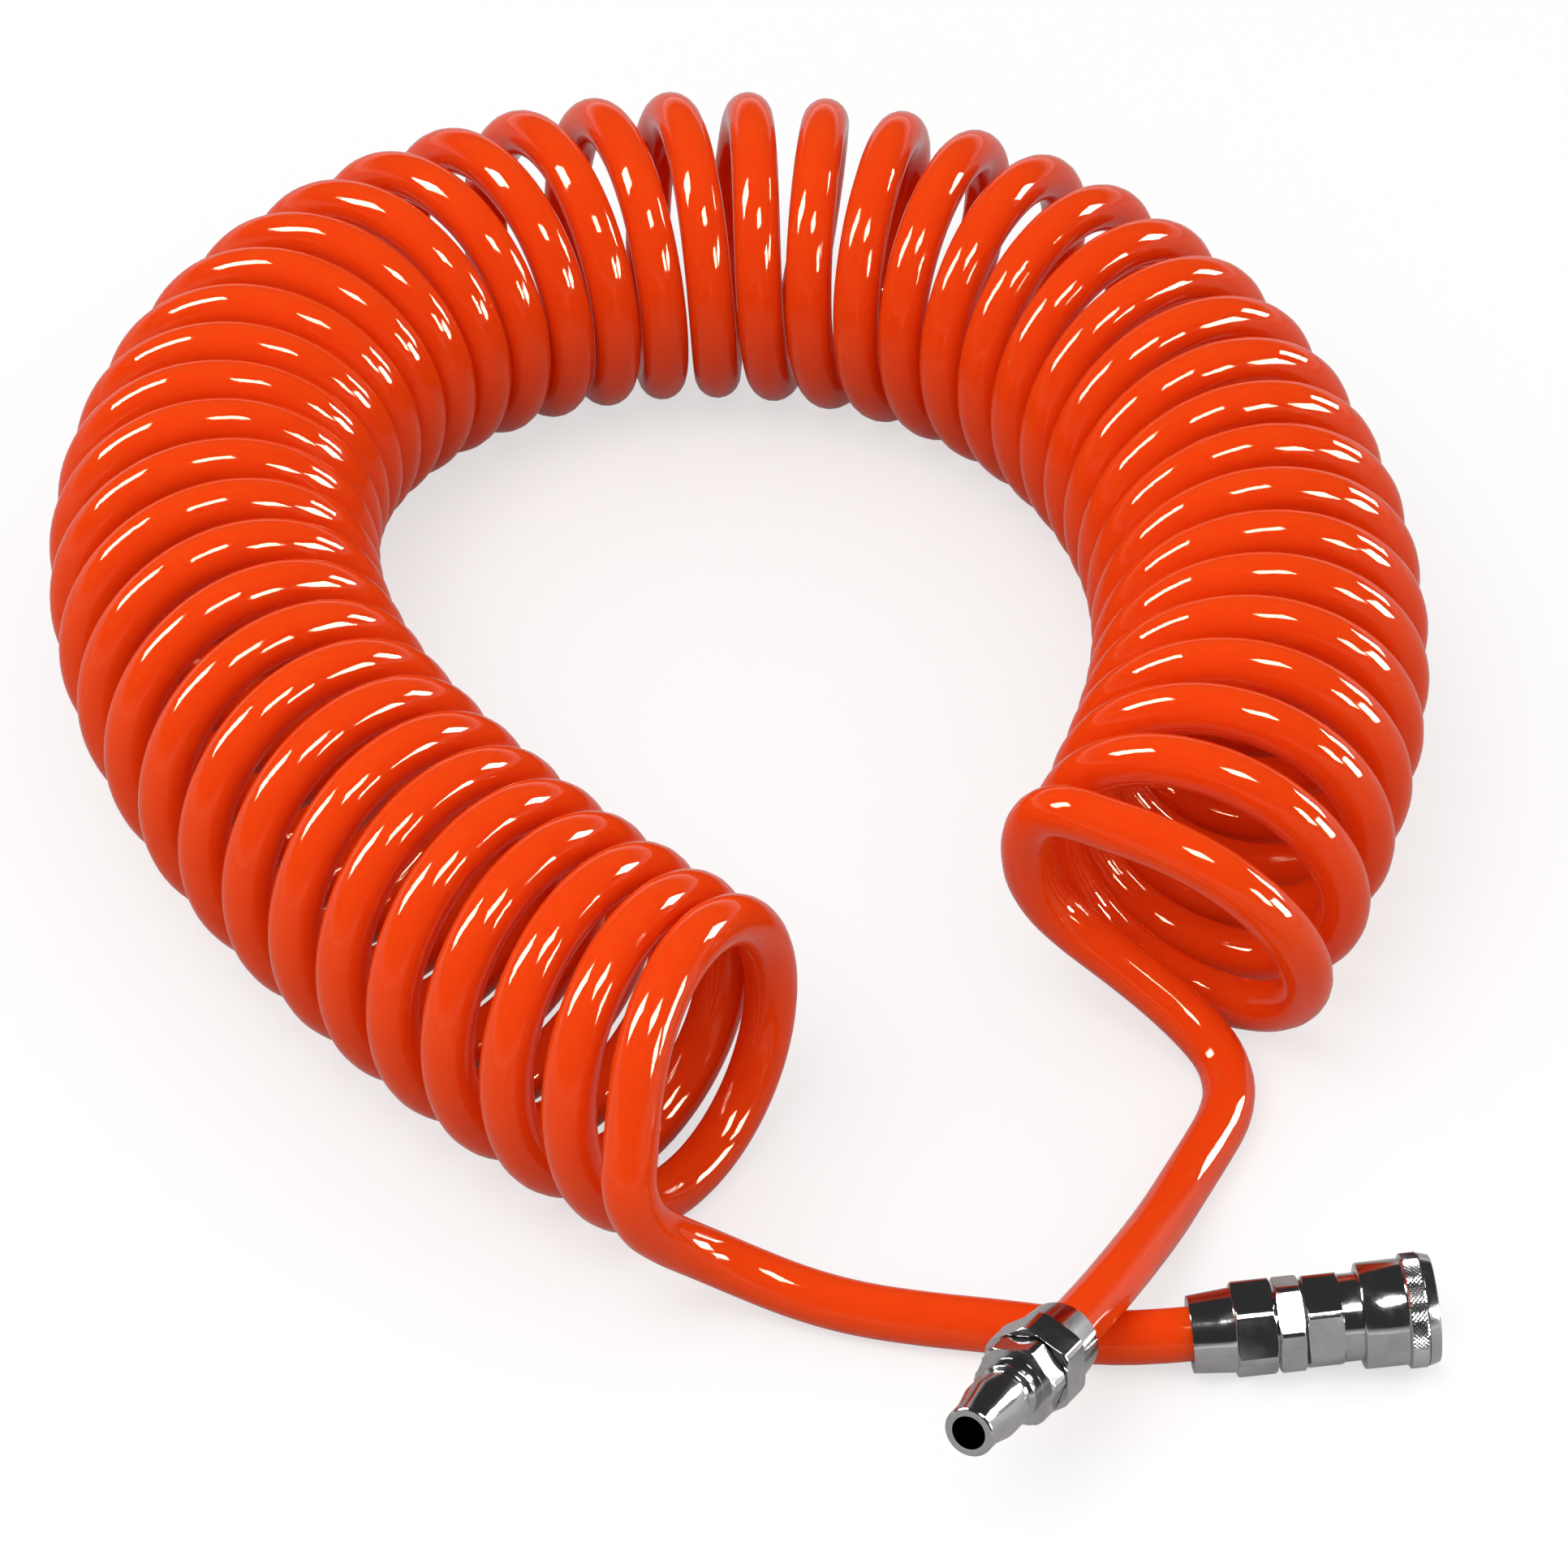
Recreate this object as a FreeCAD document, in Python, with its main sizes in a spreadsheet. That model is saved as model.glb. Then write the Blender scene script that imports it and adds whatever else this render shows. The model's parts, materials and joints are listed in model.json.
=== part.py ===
"""Recoil air hose with one-touch couplings.

A polyurethane hose is wound into a long coil that lies in a horseshoe on the floor. Its two
ends are drawn out straight. One carries a female socket with a sliding, knurled locking
sleeve, the other the male plug that fits such a socket. Millimetres, +Z up, floor at Z = 0.

Each coupling is drawn along its own X axis: X = 0 is the end where the hose goes in.
"""
import FreeCAD, Part
import math
import os
import re
import Sketcher

V = FreeCAD.Vector
doc = FreeCAD.newDocument("RecoilAirHose")

SIZES = [
    # The hose and its coil
    ("hose_diameter", 12.0, "outer diameter of the hose"),
    ("hose_bore", 8.0, "inner diameter of the hose"),
    ("coil_radius", 34.5, "from the middle of the coil to the middle of the hose"),
    ("coil_loops", 45.0, "whole loops, counted from the top of the first one"),
    ("floor_cut", 0.5, "depth of the flats on which the loops stand"),
    ("straight_end", 12.0, "straight length at either end of the coil"),
    ("start_angle", 60.0, "the coil starts this far before the top of its first loop, degrees"),
    ("first_top", 0.133, "place of the first loop's top along the coil, in turns"),
    ("coil_start_x", 14.4, "where the coil's middle line starts"),
    ("coil_start_y", -140.2, "where the coil's middle line starts"),
    ("coil_heading", 151.0, "direction of the coil's middle line at its start, degrees"),
    ("loop_yaw", 4.0, "loops stand this far off square to the coil's middle line, degrees"),
    ("first_lean", 6.0, "forward lean of the first loop, degrees, halved at each next loop"),
    ("last_lean", 18.0, "forward lean of the last loop, degrees, halved at each loop before"),
    ("last_yaw", -15.3, "extra yaw of the last loop, degrees, halved at each loop before"),
    ("last_shift", -5.4, "sideways shift of the last loop, halved at each loop before"),
    # Where the couplings lie
    ("socket_x", 99.9, "hose end of the socket"),
    ("socket_y", -177.2, "hose end of the socket"),
    ("socket_heading", 4.4, "direction from the hose end to the mouth, degrees"),
    ("socket_slope", 4.4, "the socket rises to its mouth, degrees"),
    ("plug_x", 71.1, "hose end of the plug"),
    ("plug_y", -196.1, "hose end of the plug"),
    ("plug_z", 26.5, "hose end of the plug"),
    ("plug_heading", -117.8, "direction from the hose end to the tip, degrees"),
    ("plug_slope", 15.6, "the plug rises to its tip, degrees"),
    # Hose nut, the same on both couplings
    ("hose_fit", 0.15, "radial clearance of the hose in the nut"),
    ("collar_end_radius", 8.4, "the nut's collar where the hose goes in"),
    ("collar_radius", 9.2, "the nut's collar beside its hexagon"),
    ("collar_length", 9.3, "length of the collar"),
    ("nut_length", 18.1, "whole length of the nut"),
    ("nut_flats", 19.0, "across flats of the nut, the adapter and the body"),
    ("hex_corner_radius", 10.5, "the hexagons' corners are turned to this radius"),
    ("hex_face_radius", 9.9, "radius of a hexagon's bevelled end face"),
    ("hex_bevel", 0.4, "length of the bevel on a hexagon's corners"),
    ("throat_length", 9.0, "length of the close bore round the hose"),
    ("thread_room_radius", 7.5, "bore of the nut over its thread"),
    ("thread_fit", 0.1, "radial clearance between a thread and its hole"),
    ("socket_nut_turn", 0.0, "the socket nut's hexagon, turned about its axis, degrees"),
    ("plug_nut_turn", 40.8, "the plug nut's hexagon, turned about its axis, degrees"),
    # Hose stem, the same on both couplings
    ("stem_start", 3.0, "the stem's tip inside the hose"),
    ("stem_fit", 0.1, "radial clearance between the stem's ridges and the hose bore"),
    ("stem_groove", 0.4, "depth of the grooves between the stem's ridges"),
    ("stem_bore_radius", 2.8, "air way through the stem"),
    ("shoulder", 13.0, "face that the hose is pushed up to"),
    ("hose_gap", 0.2, "gap between the hose's end and the shoulder"),
    ("neck_end", 18.6, "end of the threaded neck, where the next hexagon starts"),
    # Socket adapter
    ("adapter_hex_length", 5.6, "hexagon of the adapter"),
    ("adapter_turn", 30.0, "the adapter's hexagon, turned about its axis, degrees"),
    ("stub_radius", 6.4, "threaded stub that screws into the body"),
    ("stub_length", 4.3, "length of the stub"),
    ("spring_room_radius", 5.2, "bore that holds the valve spring"),
    ("spring_room_depth", 7.5, "depth of that bore, from the stub's end"),
    ("gasket_thickness", 0.5, "washer between adapter and body"),
    ("gasket_radius", 9.0, "outer radius of the washer"),
    # Socket body
    ("body_hex_length", 7.8, "hexagon of the body"),
    ("body_turn", 9.0, "the body's hexagon, turned about its axis, degrees"),
    ("body_neck_radius", 9.5, "turned neck that the sleeve slides on"),
    ("body_neck_length", 5.1, "length of that neck"),
    ("barrel_radius", 8.5, "barrel that holds the locking balls"),
    ("body_length", 26.8, "from the body's hexagon face to its mouth"),
    ("valve_hole_depth", 5.0, "threaded hole that takes the adapter's stub"),
    ("seat_radius", 4.2, "opening of the valve seat"),
    ("seat_wall", 1.2, "thickness of the valve seat"),
    ("tip_bore_radius", 5.6, "bore that takes the tip of the plug"),
    ("tip_bore_length", 5.1, "length of that bore"),
    ("packing_groove_radius", 7.2, "groove for the packing seal"),
    ("packing_groove_start", 1.1, "from the valve seat's front to the groove"),
    ("packing_groove_width", 2.4, "width of the groove"),
    ("packing_wire_radius", 0.8, "section of the packing seal"),
    ("packing_play", 0.05, "clearance of the packing seal in its groove"),
    ("guide_fit", 0.1, "radial clearance of the plug in the guide bore"),
    ("mouth_chamfer", 0.7, "chamfer at the mouth of the guide bore"),
    ("relief_depth", 0.3, "depth of the relief in the guide bore at the balls"),
    ("relief_margin", 0.3, "the relief is this much wider than a ball, at either side"),
    # Locking sleeve, balls and their springs
    ("sleeve_start", 1.0, "from the hexagon to the sleeve when it is drawn back"),
    ("sleeve_radius", 11.5, "plain part of the sleeve"),
    ("sleeve_bevel", 0.5, "bevel at the hose end of the sleeve"),
    ("grip_start", 5.1, "from the body's mouth back to the start of the knurled ring"),
    ("grip_end", 1.4, "from the body's mouth back to the end of the knurled ring"),
    ("grip_radius", 12.5, "knurled ring of the sleeve"),
    ("grip_bevel", 0.3, "bevel on the knurled ring"),
    ("sleeve_end", 1.4, "the sleeve reaches this far past the body's mouth"),
    ("rim_radius", 11.6, "outer radius at the mouth"),
    ("mouth_radius", 9.9, "inner radius at the mouth"),
    ("sleeve_fit", 0.1, "radial clearance of the sleeve on the body"),
    ("chamber_end", 6.3, "from the body's mouth back to the end of the spring chamber"),
    ("ramp_step", 0.08, "the release ramp starts this far outside the land"),
    ("sleeve_travel", 3.2, "the sleeve slides back this far"),
    ("ball_radius", 1.5, "locking ball"),
    ("ball_count", 6.0, "locking balls"),
    ("ball_fit", 0.05, "clearance of a ball in its hole and in the plug's groove"),
    ("ball_travel", 1.2, "a ball moves out this far to let the plug go"),
    ("ball_place", 3.45, "from the body's mouth back to the middle of the balls"),
    ("ring_start", 1.1, "from the body's mouth back to the groove of the retaining ring"),
    ("ring_width", 0.8, "width of that groove"),
    ("ring_depth", 0.5, "depth of that groove"),
    ("ring_play", 0.05, "clearance of the retaining ring in its groove"),
    ("ring_radius", 9.3, "outer radius of the retaining ring"),
    ("ring_arc", 336.0, "the split ring goes this far round, degrees"),
    ("sleeve_spring_wire", 0.8, "wire of the sleeve spring"),
    ("sleeve_spring_radius", 9.05, "mean radius of the sleeve spring"),
    ("sleeve_spring_turns", 4.0, "turns of the sleeve spring"),
    ("spring_play", 0.1, "gap at either end of a spring"),
    # Valve
    ("valve_flange_radius", 5.0, "flange of the valve poppet"),
    ("valve_flange_width", 1.0, "thickness of the flange"),
    ("valve_stem_radius", 3.0, "back stem that guides the valve spring"),
    ("valve_stem_length", 3.7, "length of the back stem"),
    ("valve_nose_radius", 3.9, "nose that the plug pushes"),
    ("valve_nose_length", 4.3, "from the valve seat's back to the end of the nose"),
    ("valve_nose_flats", 6.9, "across flats of the nose, where the air passes"),
    ("valve_nose_bevel", 0.5, "bevel on the nose"),
    ("valve_seal_width", 0.5, "thickness of the seat washer"),
    ("valve_seal_gap", 0.02, "gap of the seat washer at the valve seat"),
    ("valve_spring_wire", 0.7, "wire of the valve spring"),
    ("valve_spring_radius", 4.4, "mean radius of the valve spring"),
    ("valve_spring_turns", 4.0, "turns of the valve spring"),
    # Plug
    ("plug_flats", 17.0, "across flats of the plug's hexagon"),
    ("plug_corner_radius", 9.4, "its corners are turned to this radius"),
    ("plug_face_radius", 8.8, "radius of its bevelled end face"),
    ("plug_turn", 17.3, "the plug's hexagon, turned about its axis, degrees"),
    ("plug_hex_length", 5.8, "length of the plug's hexagon"),
    ("plug_length", 46.7, "from the hose end of the nut to the tip"),
    ("plug_radius", 6.6, "shoulder that runs in the guide bore"),
    ("tip_radius", 5.5, "tip of the plug"),
    ("tip_bevel", 0.4, "bevel on the tip"),
    ("tip_length", 5.2, "length of the tip"),
    ("cone_end", 10.5, "from the tip to the end of the cone"),
    ("shoulder_end", 1.85, "from the middle of the locking groove to the shoulder in front"),
    ("groove_start", 0.85, "from the middle of the locking groove to its start"),
    ("groove_end", 0.85, "from the middle of the locking groove to its end"),
    ("body_start", 1.45, "from the middle of the locking groove to the plain body behind"),
    ("groove_radius", 5.5, "bottom of the locking groove"),
    ("nose_bore_radius", 3.7, "air way at the tip"),
    ("nose_bore_depth", 16.0, "depth of the wide air way"),
    ("nose_bore_cone", 1.0, "length of the cone at its bottom"),
    ("tip_gap", 0.1, "gap between the tip of a plug in the socket and the valve seat"),
]
NAMES = {name for name, value, note in SIZES}

sheet = doc.addObject("Spreadsheet::Sheet", "Sizes")
for line, (name, value, note) in enumerate(SIZES, 1):
    sheet.set("A%d" % line, name)
    sheet.set("B%d" % line, str(value))
    sheet.set("C%d" % line, note)
    sheet.setAlias("B%d" % line, name)
doc.recompute()

# How far the coil's middle line turns at each loop, in degrees, and how far apart the loops
# stand on the inner side of the bend. Both are set at every fifth loop and run evenly between.
LOOPS_PER_STATION = 5
BEND = [4.5, 1.75, 5.0, 6.5, 8.75, 8.5, 8.5, 5.25, 4.75, 2.75]
INNER_PITCH = [14.5, 15.5, 15.5, 12.5, 12.5, 12.5, 13.5, 15.0, 13.5, 12.5]
STEPS_PER_TURN = 64
LOOKS_PER_TURN = 120

RIDGES = 4
ARC_SHARE = 0.45
FLOOR_REACH = 1000.0

# Places along a coupling, worked out from the sizes above.
RULES = {
    "hose_end": "shoulder - hose_gap",
    "stem_radius": "hose_bore / 2 - stem_fit",
    "neck_radius": "thread_room_radius - thread_fit",
    "adapter_end": "neck_end + adapter_hex_length",
    "stub_end": "neck_end + adapter_hex_length + stub_length",
    "spring_room": "neck_end + adapter_hex_length + stub_length - spring_room_depth",
    "face": "neck_end + adapter_hex_length + gasket_thickness",
}
RULES["seat_back"] = "%(face)s + valve_hole_depth" % RULES
RULES["seat_front"] = "%(seat_back)s + seat_wall" % RULES
RULES["groove_in"] = "%(seat_front)s + packing_groove_start" % RULES
RULES["groove_out"] = "%(groove_in)s + packing_groove_width" % RULES
RULES["tip_bore_end"] = "%(seat_front)s + tip_bore_length" % RULES
RULES["mouth"] = "%(face)s + body_length" % RULES
RULES["guide_radius"] = "plug_radius + guide_fit"
RULES["land_radius"] = "barrel_radius + sleeve_fit"
RULES["chamber_radius"] = "body_neck_radius + sleeve_fit"
RULES["balls"] = "%(mouth)s - ball_place" % RULES
# The plug's locking groove comes under the balls when the tip is near the valve seat.
RULES["lock"] = "plug_length - (%(balls)s - (%(seat_front)s) - tip_gap)" % RULES
RULES["relief_start"] = "%(balls)s - ball_radius - relief_margin" % RULES
RULES["relief_end"] = "%(balls)s + ball_radius + relief_margin" % RULES
RULES["ring_groove"] = "%(mouth)s - ring_start" % RULES
RULES["sleeve_back"] = "%(face)s + body_hex_length + sleeve_travel + sleeve_start" % RULES
RULES["sleeve_mouth"] = "%(mouth)s + sleeve_end" % RULES
RULES["grip_back"] = "%(mouth)s - grip_start" % RULES
RULES["grip_front"] = "%(mouth)s - grip_end" % RULES
RULES["chamber_front"] = "%(mouth)s - chamber_end" % RULES
RULES["ball_middle"] = "groove_radius + ball_radius + ball_fit"
RULES["ramp_end"] = ("%(balls)s + (mouth_radius - barrel_radius - sleeve_fit - ramp_step)"
                     " * sleeve_travel / ball_travel") % RULES
RULES["flange_front"] = "%(seat_back)s - valve_seal_gap - valve_seal_width" % RULES


def rule(text):
    """A rule written in size names, with the names of RULES filled in."""
    return re.sub(r"[a-z_]+", lambda w: "(%s)" % RULES[w.group()] if w.group() in RULES
                  else w.group(), text)


def bound(text):
    """The same rule as an expression on the sheet."""
    return re.sub(r"[a-z_]+", lambda w: "Sizes." + w.group() if w.group() in NAMES
                  else w.group(), rule(text))


def size(text):
    """The rule's value as a plain number."""
    return float(sheet.evalExpression(bound(text)))


def pose(x, y, z, heading, slope):
    """Where a coupling lies: its hose end, and the direction of its axis."""
    turn = FreeCAD.Rotation(V(0, 0, 1), heading) * FreeCAD.Rotation(V(0, 1, 0), -slope)
    return FreeCAD.Placement(V(x, y, z), turn)


def turned_about_axis(degrees):
    return FreeCAD.Placement(V(0, 0, 0), FreeCAD.Rotation(V(1, 0, 0), degrees))


def origin_plane(body, role):
    return [item for item in body.Origin.OriginFeatures if item.Role == role][0]


def sketch_on(body, name, role):
    sketch = body.newObject("Sketcher::SketchObject", name)
    sketch.AttachmentSupport = [(origin_plane(body, role), "")]
    sketch.MapMode = "FlatFace"
    return sketch


def turned(name, profile, place, angle="360"):
    """A body turned about its X axis from a closed outline of (x, radius) rules."""
    body = doc.addObject("PartDesign::Body", name)
    body.Label = name
    sketch = sketch_on(body, name + "_outline", "XZ_Plane")
    corners = [V(size(x), size(r), 0) for x, r in profile]
    count = len(corners)
    for i in range(count):
        sketch.addGeometry(Part.LineSegment(corners[i], corners[(i + 1) % count]), False)
    for i in range(count):
        sketch.addConstraint(Sketcher.Constraint("Coincident", i, 2, (i + 1) % count, 1))
    for i, (x, r) in enumerate(profile):
        for kind, text in (("DistanceX", x), ("DistanceY", r)):
            if text == "0":
                axis = -1 if kind == "DistanceY" else -2
                sketch.addConstraint(Sketcher.Constraint("PointOnObject", i, 1, axis))
                continue
            held = Sketcher.Constraint(kind, -1, 1, i, 1, size(text))
            number = sketch.addConstraint(held)
            sketch.setExpression("Constraints[%d]" % number, bound(text))
    spun = body.newObject("PartDesign::Revolution", name + "_turned")
    spun.Profile = sketch
    spun.ReferenceAxis = (sketch, ["H_Axis"])
    spun.setExpression("Angle", bound(angle))
    sketch.Visibility = False
    body.Placement = place
    doc.recompute()
    return body


def cut_hexagon(body, flats, start, length):
    """Six flats milled on a turned body, from start over the given length."""
    before = body.Shape.Volume
    sketch = sketch_on(body, body.Name + "_flats", "YZ_Plane")
    sketch.AttachmentOffset = FreeCAD.Placement(V(0, 0, size(start)), FreeCAD.Rotation())
    sketch.setExpression("AttachmentOffset.Base.z", bound(start))
    across = size(flats) / 2 / math.cos(math.radians(30))
    tips = [V(across * math.cos(math.radians(60 * k)), across * math.sin(math.radians(60 * k)), 0)
            for k in range(6)]
    for k in range(6):
        sketch.addGeometry(Part.LineSegment(tips[k], tips[(k + 1) % 6]), False)
    round_tips = sketch.addGeometry(Part.Circle(V(0, 0, 0), V(0, 0, 1), across), True)
    room = sketch.addGeometry(Part.Circle(V(0, 0, 0), V(0, 0, 1), across * 2), False)
    for k in range(6):
        sketch.addConstraint(Sketcher.Constraint("Coincident", k, 2, (k + 1) % 6, 1))
        sketch.addConstraint(Sketcher.Constraint("PointOnObject", k, 1, round_tips))
    for k in range(1, 6):
        sketch.addConstraint(Sketcher.Constraint("Equal", 0, k))
    sketch.addConstraint(Sketcher.Constraint("Horizontal", 1))
    for circle, text in ((round_tips, "%s / 2 / cos(30 deg)"), (room, "%s")):
        sketch.addConstraint(Sketcher.Constraint("Coincident", circle, 3, -1, 1))
        held = Sketcher.Constraint("Radius", circle, size(text % flats))
        number = sketch.addConstraint(held)
        sketch.setExpression("Constraints[%d]" % number, bound(text % flats))
    flat = body.newObject("PartDesign::Pocket", body.Name + "_hexagon")
    flat.Profile = sketch
    flat.setExpression("Length", bound(length))
    flat.Reversed = True
    sketch.Visibility = False
    doc.recompute()
    print("  %s: flats take %.1f mm3" % (body.Name, before - body.Shape.Volume))
    return body


def hexagon(start, end, corner="hex_corner_radius", face="hex_face_radius"):
    """Outline of a turned hexagon with bevelled corners."""
    return [(start, face), (start + " + hex_bevel", corner),
            (end + " - hex_bevel", corner), (end, face)]


def hose_nut(name, place, turn):
    outline = [("0", "collar_end_radius"), ("collar_length", "collar_radius")]
    outline += hexagon("collar_length", "nut_length")
    outline += [("nut_length", "thread_room_radius"), ("throat_length", "thread_room_radius"),
                ("throat_length", "hose_diameter / 2 + hose_fit"),
                ("0", "hose_diameter / 2 + hose_fit")]
    nut = turned(name, outline, place * turned_about_axis(turn))
    return cut_hexagon(nut, "nut_flats", "collar_length", "nut_length - collar_length")


def stem_and_neck():
    """Outline of the ridged hose stem and the threaded neck, from the stem's tip outwards."""
    outline = []
    for k in range(RIDGES):
        ridge = "stem_start + (shoulder - stem_start) * %d / %d" % (k, RIDGES)
        after = "stem_start + (shoulder - stem_start) * %d / %d" % (k + 1, RIDGES)
        outline += [(ridge, "stem_radius - stem_groove"), (after, "stem_radius")]
    return outline + [("shoulder", "neck_radius"), ("neck_end", "neck_radius")]


# The couplings' places. The socket lies on the corner of its adapter and on its knurled ring.
slope = math.radians(size("socket_slope"))
rests = [size("hex_corner_radius") * math.cos(slope)
         - size("neck_end + hex_bevel") * math.sin(slope),
         size("grip_radius") * math.cos(slope)
         - size("grip_back + grip_bevel") * math.sin(slope)]
socket = pose(size("socket_x"), size("socket_y"), max(rests),
              size("socket_heading"), size("socket_slope"))
plug = pose(size("plug_x"), size("plug_y"), size("plug_z"),
            size("plug_heading"), size("plug_slope"))

pieces = []

# Hose nuts
pieces.append(hose_nut("socket_hose_nut", socket, size("socket_nut_turn")))
pieces.append(hose_nut("plug_hose_nut", plug, size("plug_nut_turn")))

# Socket adapter
outline = stem_and_neck() + hexagon("neck_end", "adapter_end")
outline += [("adapter_end", "stub_radius"), ("stub_end", "stub_radius"),
            ("stub_end", "spring_room_radius"), ("spring_room", "spring_room_radius"),
            ("spring_room", "stem_bore_radius"), ("stem_start", "stem_bore_radius")]
adapter = turned("socket_adapter", outline, socket * turned_about_axis(size("adapter_turn")))
pieces.append(cut_hexagon(adapter, "nut_flats", "neck_end", "adapter_hex_length"))

# Washer between adapter and body
pieces.append(turned("socket_gasket", [
    ("adapter_end", "stub_radius + thread_fit"), ("adapter_end", "gasket_radius"),
    ("face", "gasket_radius"), ("face", "stub_radius + thread_fit")], socket))

# Socket body with its ball holes
body_place = socket * turned_about_axis(size("body_turn"))
outline = hexagon("face", "face + body_hex_length")
outline += [("face + body_hex_length", "body_neck_radius"),
            ("face + body_hex_length + body_neck_length", "body_neck_radius"),
            ("face + body_hex_length + body_neck_length", "barrel_radius"),
            ("ring_groove", "barrel_radius"), ("ring_groove", "barrel_radius - ring_depth"),
            ("ring_groove + ring_width", "barrel_radius - ring_depth"),
            ("ring_groove + ring_width", "barrel_radius"), ("mouth", "barrel_radius"),
            ("mouth", "guide_radius + mouth_chamfer"),
            ("mouth - mouth_chamfer", "guide_radius"), ("relief_end", "guide_radius"),
            ("relief_end", "guide_radius + relief_depth"),
            ("relief_start", "guide_radius + relief_depth"),
            ("relief_start", "guide_radius"), ("tip_bore_end", "guide_radius"),
            ("tip_bore_end", "tip_bore_radius"), ("groove_out", "tip_bore_radius"),
            ("groove_out", "packing_groove_radius"), ("groove_in", "packing_groove_radius"),
            ("groove_in", "tip_bore_radius"), ("seat_front", "tip_bore_radius"),
            ("seat_front", "seat_radius"), ("seat_back", "seat_radius"),
            ("seat_back", "stub_radius + thread_fit"), ("face", "stub_radius + thread_fit")]
barrel = turned("socket_body", outline, body_place)
cut_hexagon(barrel, "nut_flats", "face", "body_hex_length")
before = barrel.Shape.Volume
hole_sketch = sketch_on(barrel, "ball_hole_outline", "XY_Plane")
hole_sketch.addGeometry(
    Part.Circle(V(size("balls"), 0, 0), V(0, 0, 1), size("ball_radius")), False)
hole_sketch.addConstraint(Sketcher.Constraint("PointOnObject", 0, 3, -1))
held = [(Sketcher.Constraint("DistanceX", -1, 1, 0, 3, size("balls")), "balls"),
        (Sketcher.Constraint("Radius", 0, size("ball_radius + ball_fit")),
         "ball_radius + ball_fit")]
for constraint, text in held:
    number = hole_sketch.addConstraint(constraint)
    hole_sketch.setExpression("Constraints[%d]" % number, bound(text))
hole = barrel.newObject("PartDesign::Pocket", "ball_hole")
hole.Profile = hole_sketch
hole.Reversed = True
hole.setExpression("Length", bound("barrel_radius * 2"))
hole_sketch.Visibility = False
doc.recompute()
ring_of_holes = barrel.newObject("PartDesign::PolarPattern", "ball_holes")
ring_of_holes.Originals = [hole]
ring_of_holes.Axis = (origin_plane(barrel, "X_Axis"), [""])
ring_of_holes.Angle = 360
ring_of_holes.setExpression("Occurrences", bound("ball_count"))
barrel.Tip = ring_of_holes
doc.recompute()
print("  socket_body: ball holes take %.1f mm3" % (before - barrel.Shape.Volume))
pieces.append(barrel)

# Locking sleeve
pieces.append(turned("socket_sleeve", [
    ("sleeve_back", "sleeve_radius - sleeve_bevel"),
    ("sleeve_back + sleeve_bevel", "sleeve_radius"), ("grip_back", "sleeve_radius"),
    ("grip_back", "grip_radius - grip_bevel"), ("grip_back + grip_bevel", "grip_radius"),
    ("grip_front", "grip_radius"), ("sleeve_mouth", "rim_radius"),
    ("sleeve_mouth", "mouth_radius"), ("ramp_end", "mouth_radius"),
    ("balls", "land_radius + ramp_step"), ("balls", "land_radius"),
    ("chamber_front", "land_radius"), ("chamber_front", "chamber_radius"),
    ("sleeve_back", "chamber_radius")], socket))

# Retaining ring, split at the top
ring_place = socket * turned_about_axis((360 - size("ring_arc")) / 2)
pieces.append(turned("retaining_ring", [
    ("ring_groove + ring_play", "barrel_radius - ring_depth + ring_play"),
    ("ring_groove + ring_play", "ring_radius"),
    ("ring_groove + ring_width - ring_play", "ring_radius"),
    ("ring_groove + ring_width - ring_play", "barrel_radius - ring_depth + ring_play")],
    ring_place, "ring_arc"))

# Locking balls
for k in range(int(round(size("ball_count")))):
    ball = doc.addObject("Part::Sphere", "lock_ball_%d" % (k + 1))
    ball.Label = "lock_ball_%d" % (k + 1)
    ball.setExpression("Radius", bound("ball_radius"))
    about = turned_about_axis(360.0 * k / size("ball_count"))
    out = FreeCAD.Placement(V(size("balls"), 0, size("ball_middle")), FreeCAD.Rotation())
    ball.Placement = body_place * about * out
    pieces.append(ball)

# Packing seal
seal = doc.addObject("Part::Torus", "packing_seal")
seal.Label = "packing_seal"
seal.setExpression("Radius1", bound(
    "packing_groove_radius - packing_play - packing_wire_radius"))
seal.setExpression("Radius2", bound("packing_wire_radius"))
seal.Placement = socket * FreeCAD.Placement(
    V(size("(groove_in + groove_out) / 2"), 0, 0), FreeCAD.Rotation(V(0, 1, 0), 90))
pieces.append(seal)

# Valve poppet and its seat washer
poppet = turned("valve_poppet", [
    ("flange_front - valve_flange_width - valve_stem_length", "0"),
    ("flange_front - valve_flange_width - valve_stem_length", "valve_stem_radius"),
    ("flange_front - valve_flange_width", "valve_stem_radius"),
    ("flange_front - valve_flange_width", "valve_flange_radius"),
    ("flange_front", "valve_flange_radius"), ("flange_front", "valve_nose_radius"),
    ("seat_back + valve_nose_length - valve_nose_bevel", "valve_nose_radius"),
    ("seat_back + valve_nose_length", "valve_nose_radius - valve_nose_bevel"),
    ("seat_back + valve_nose_length", "0")], socket)
pieces.append(cut_hexagon(poppet, "valve_nose_flats", "seat_back", "valve_nose_length"))
pieces.append(turned("valve_seal", [
    ("flange_front", "valve_nose_radius"), ("flange_front", "valve_flange_radius"),
    ("flange_front + valve_seal_width", "valve_flange_radius"),
    ("flange_front + valve_seal_width", "valve_nose_radius")], socket))

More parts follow.
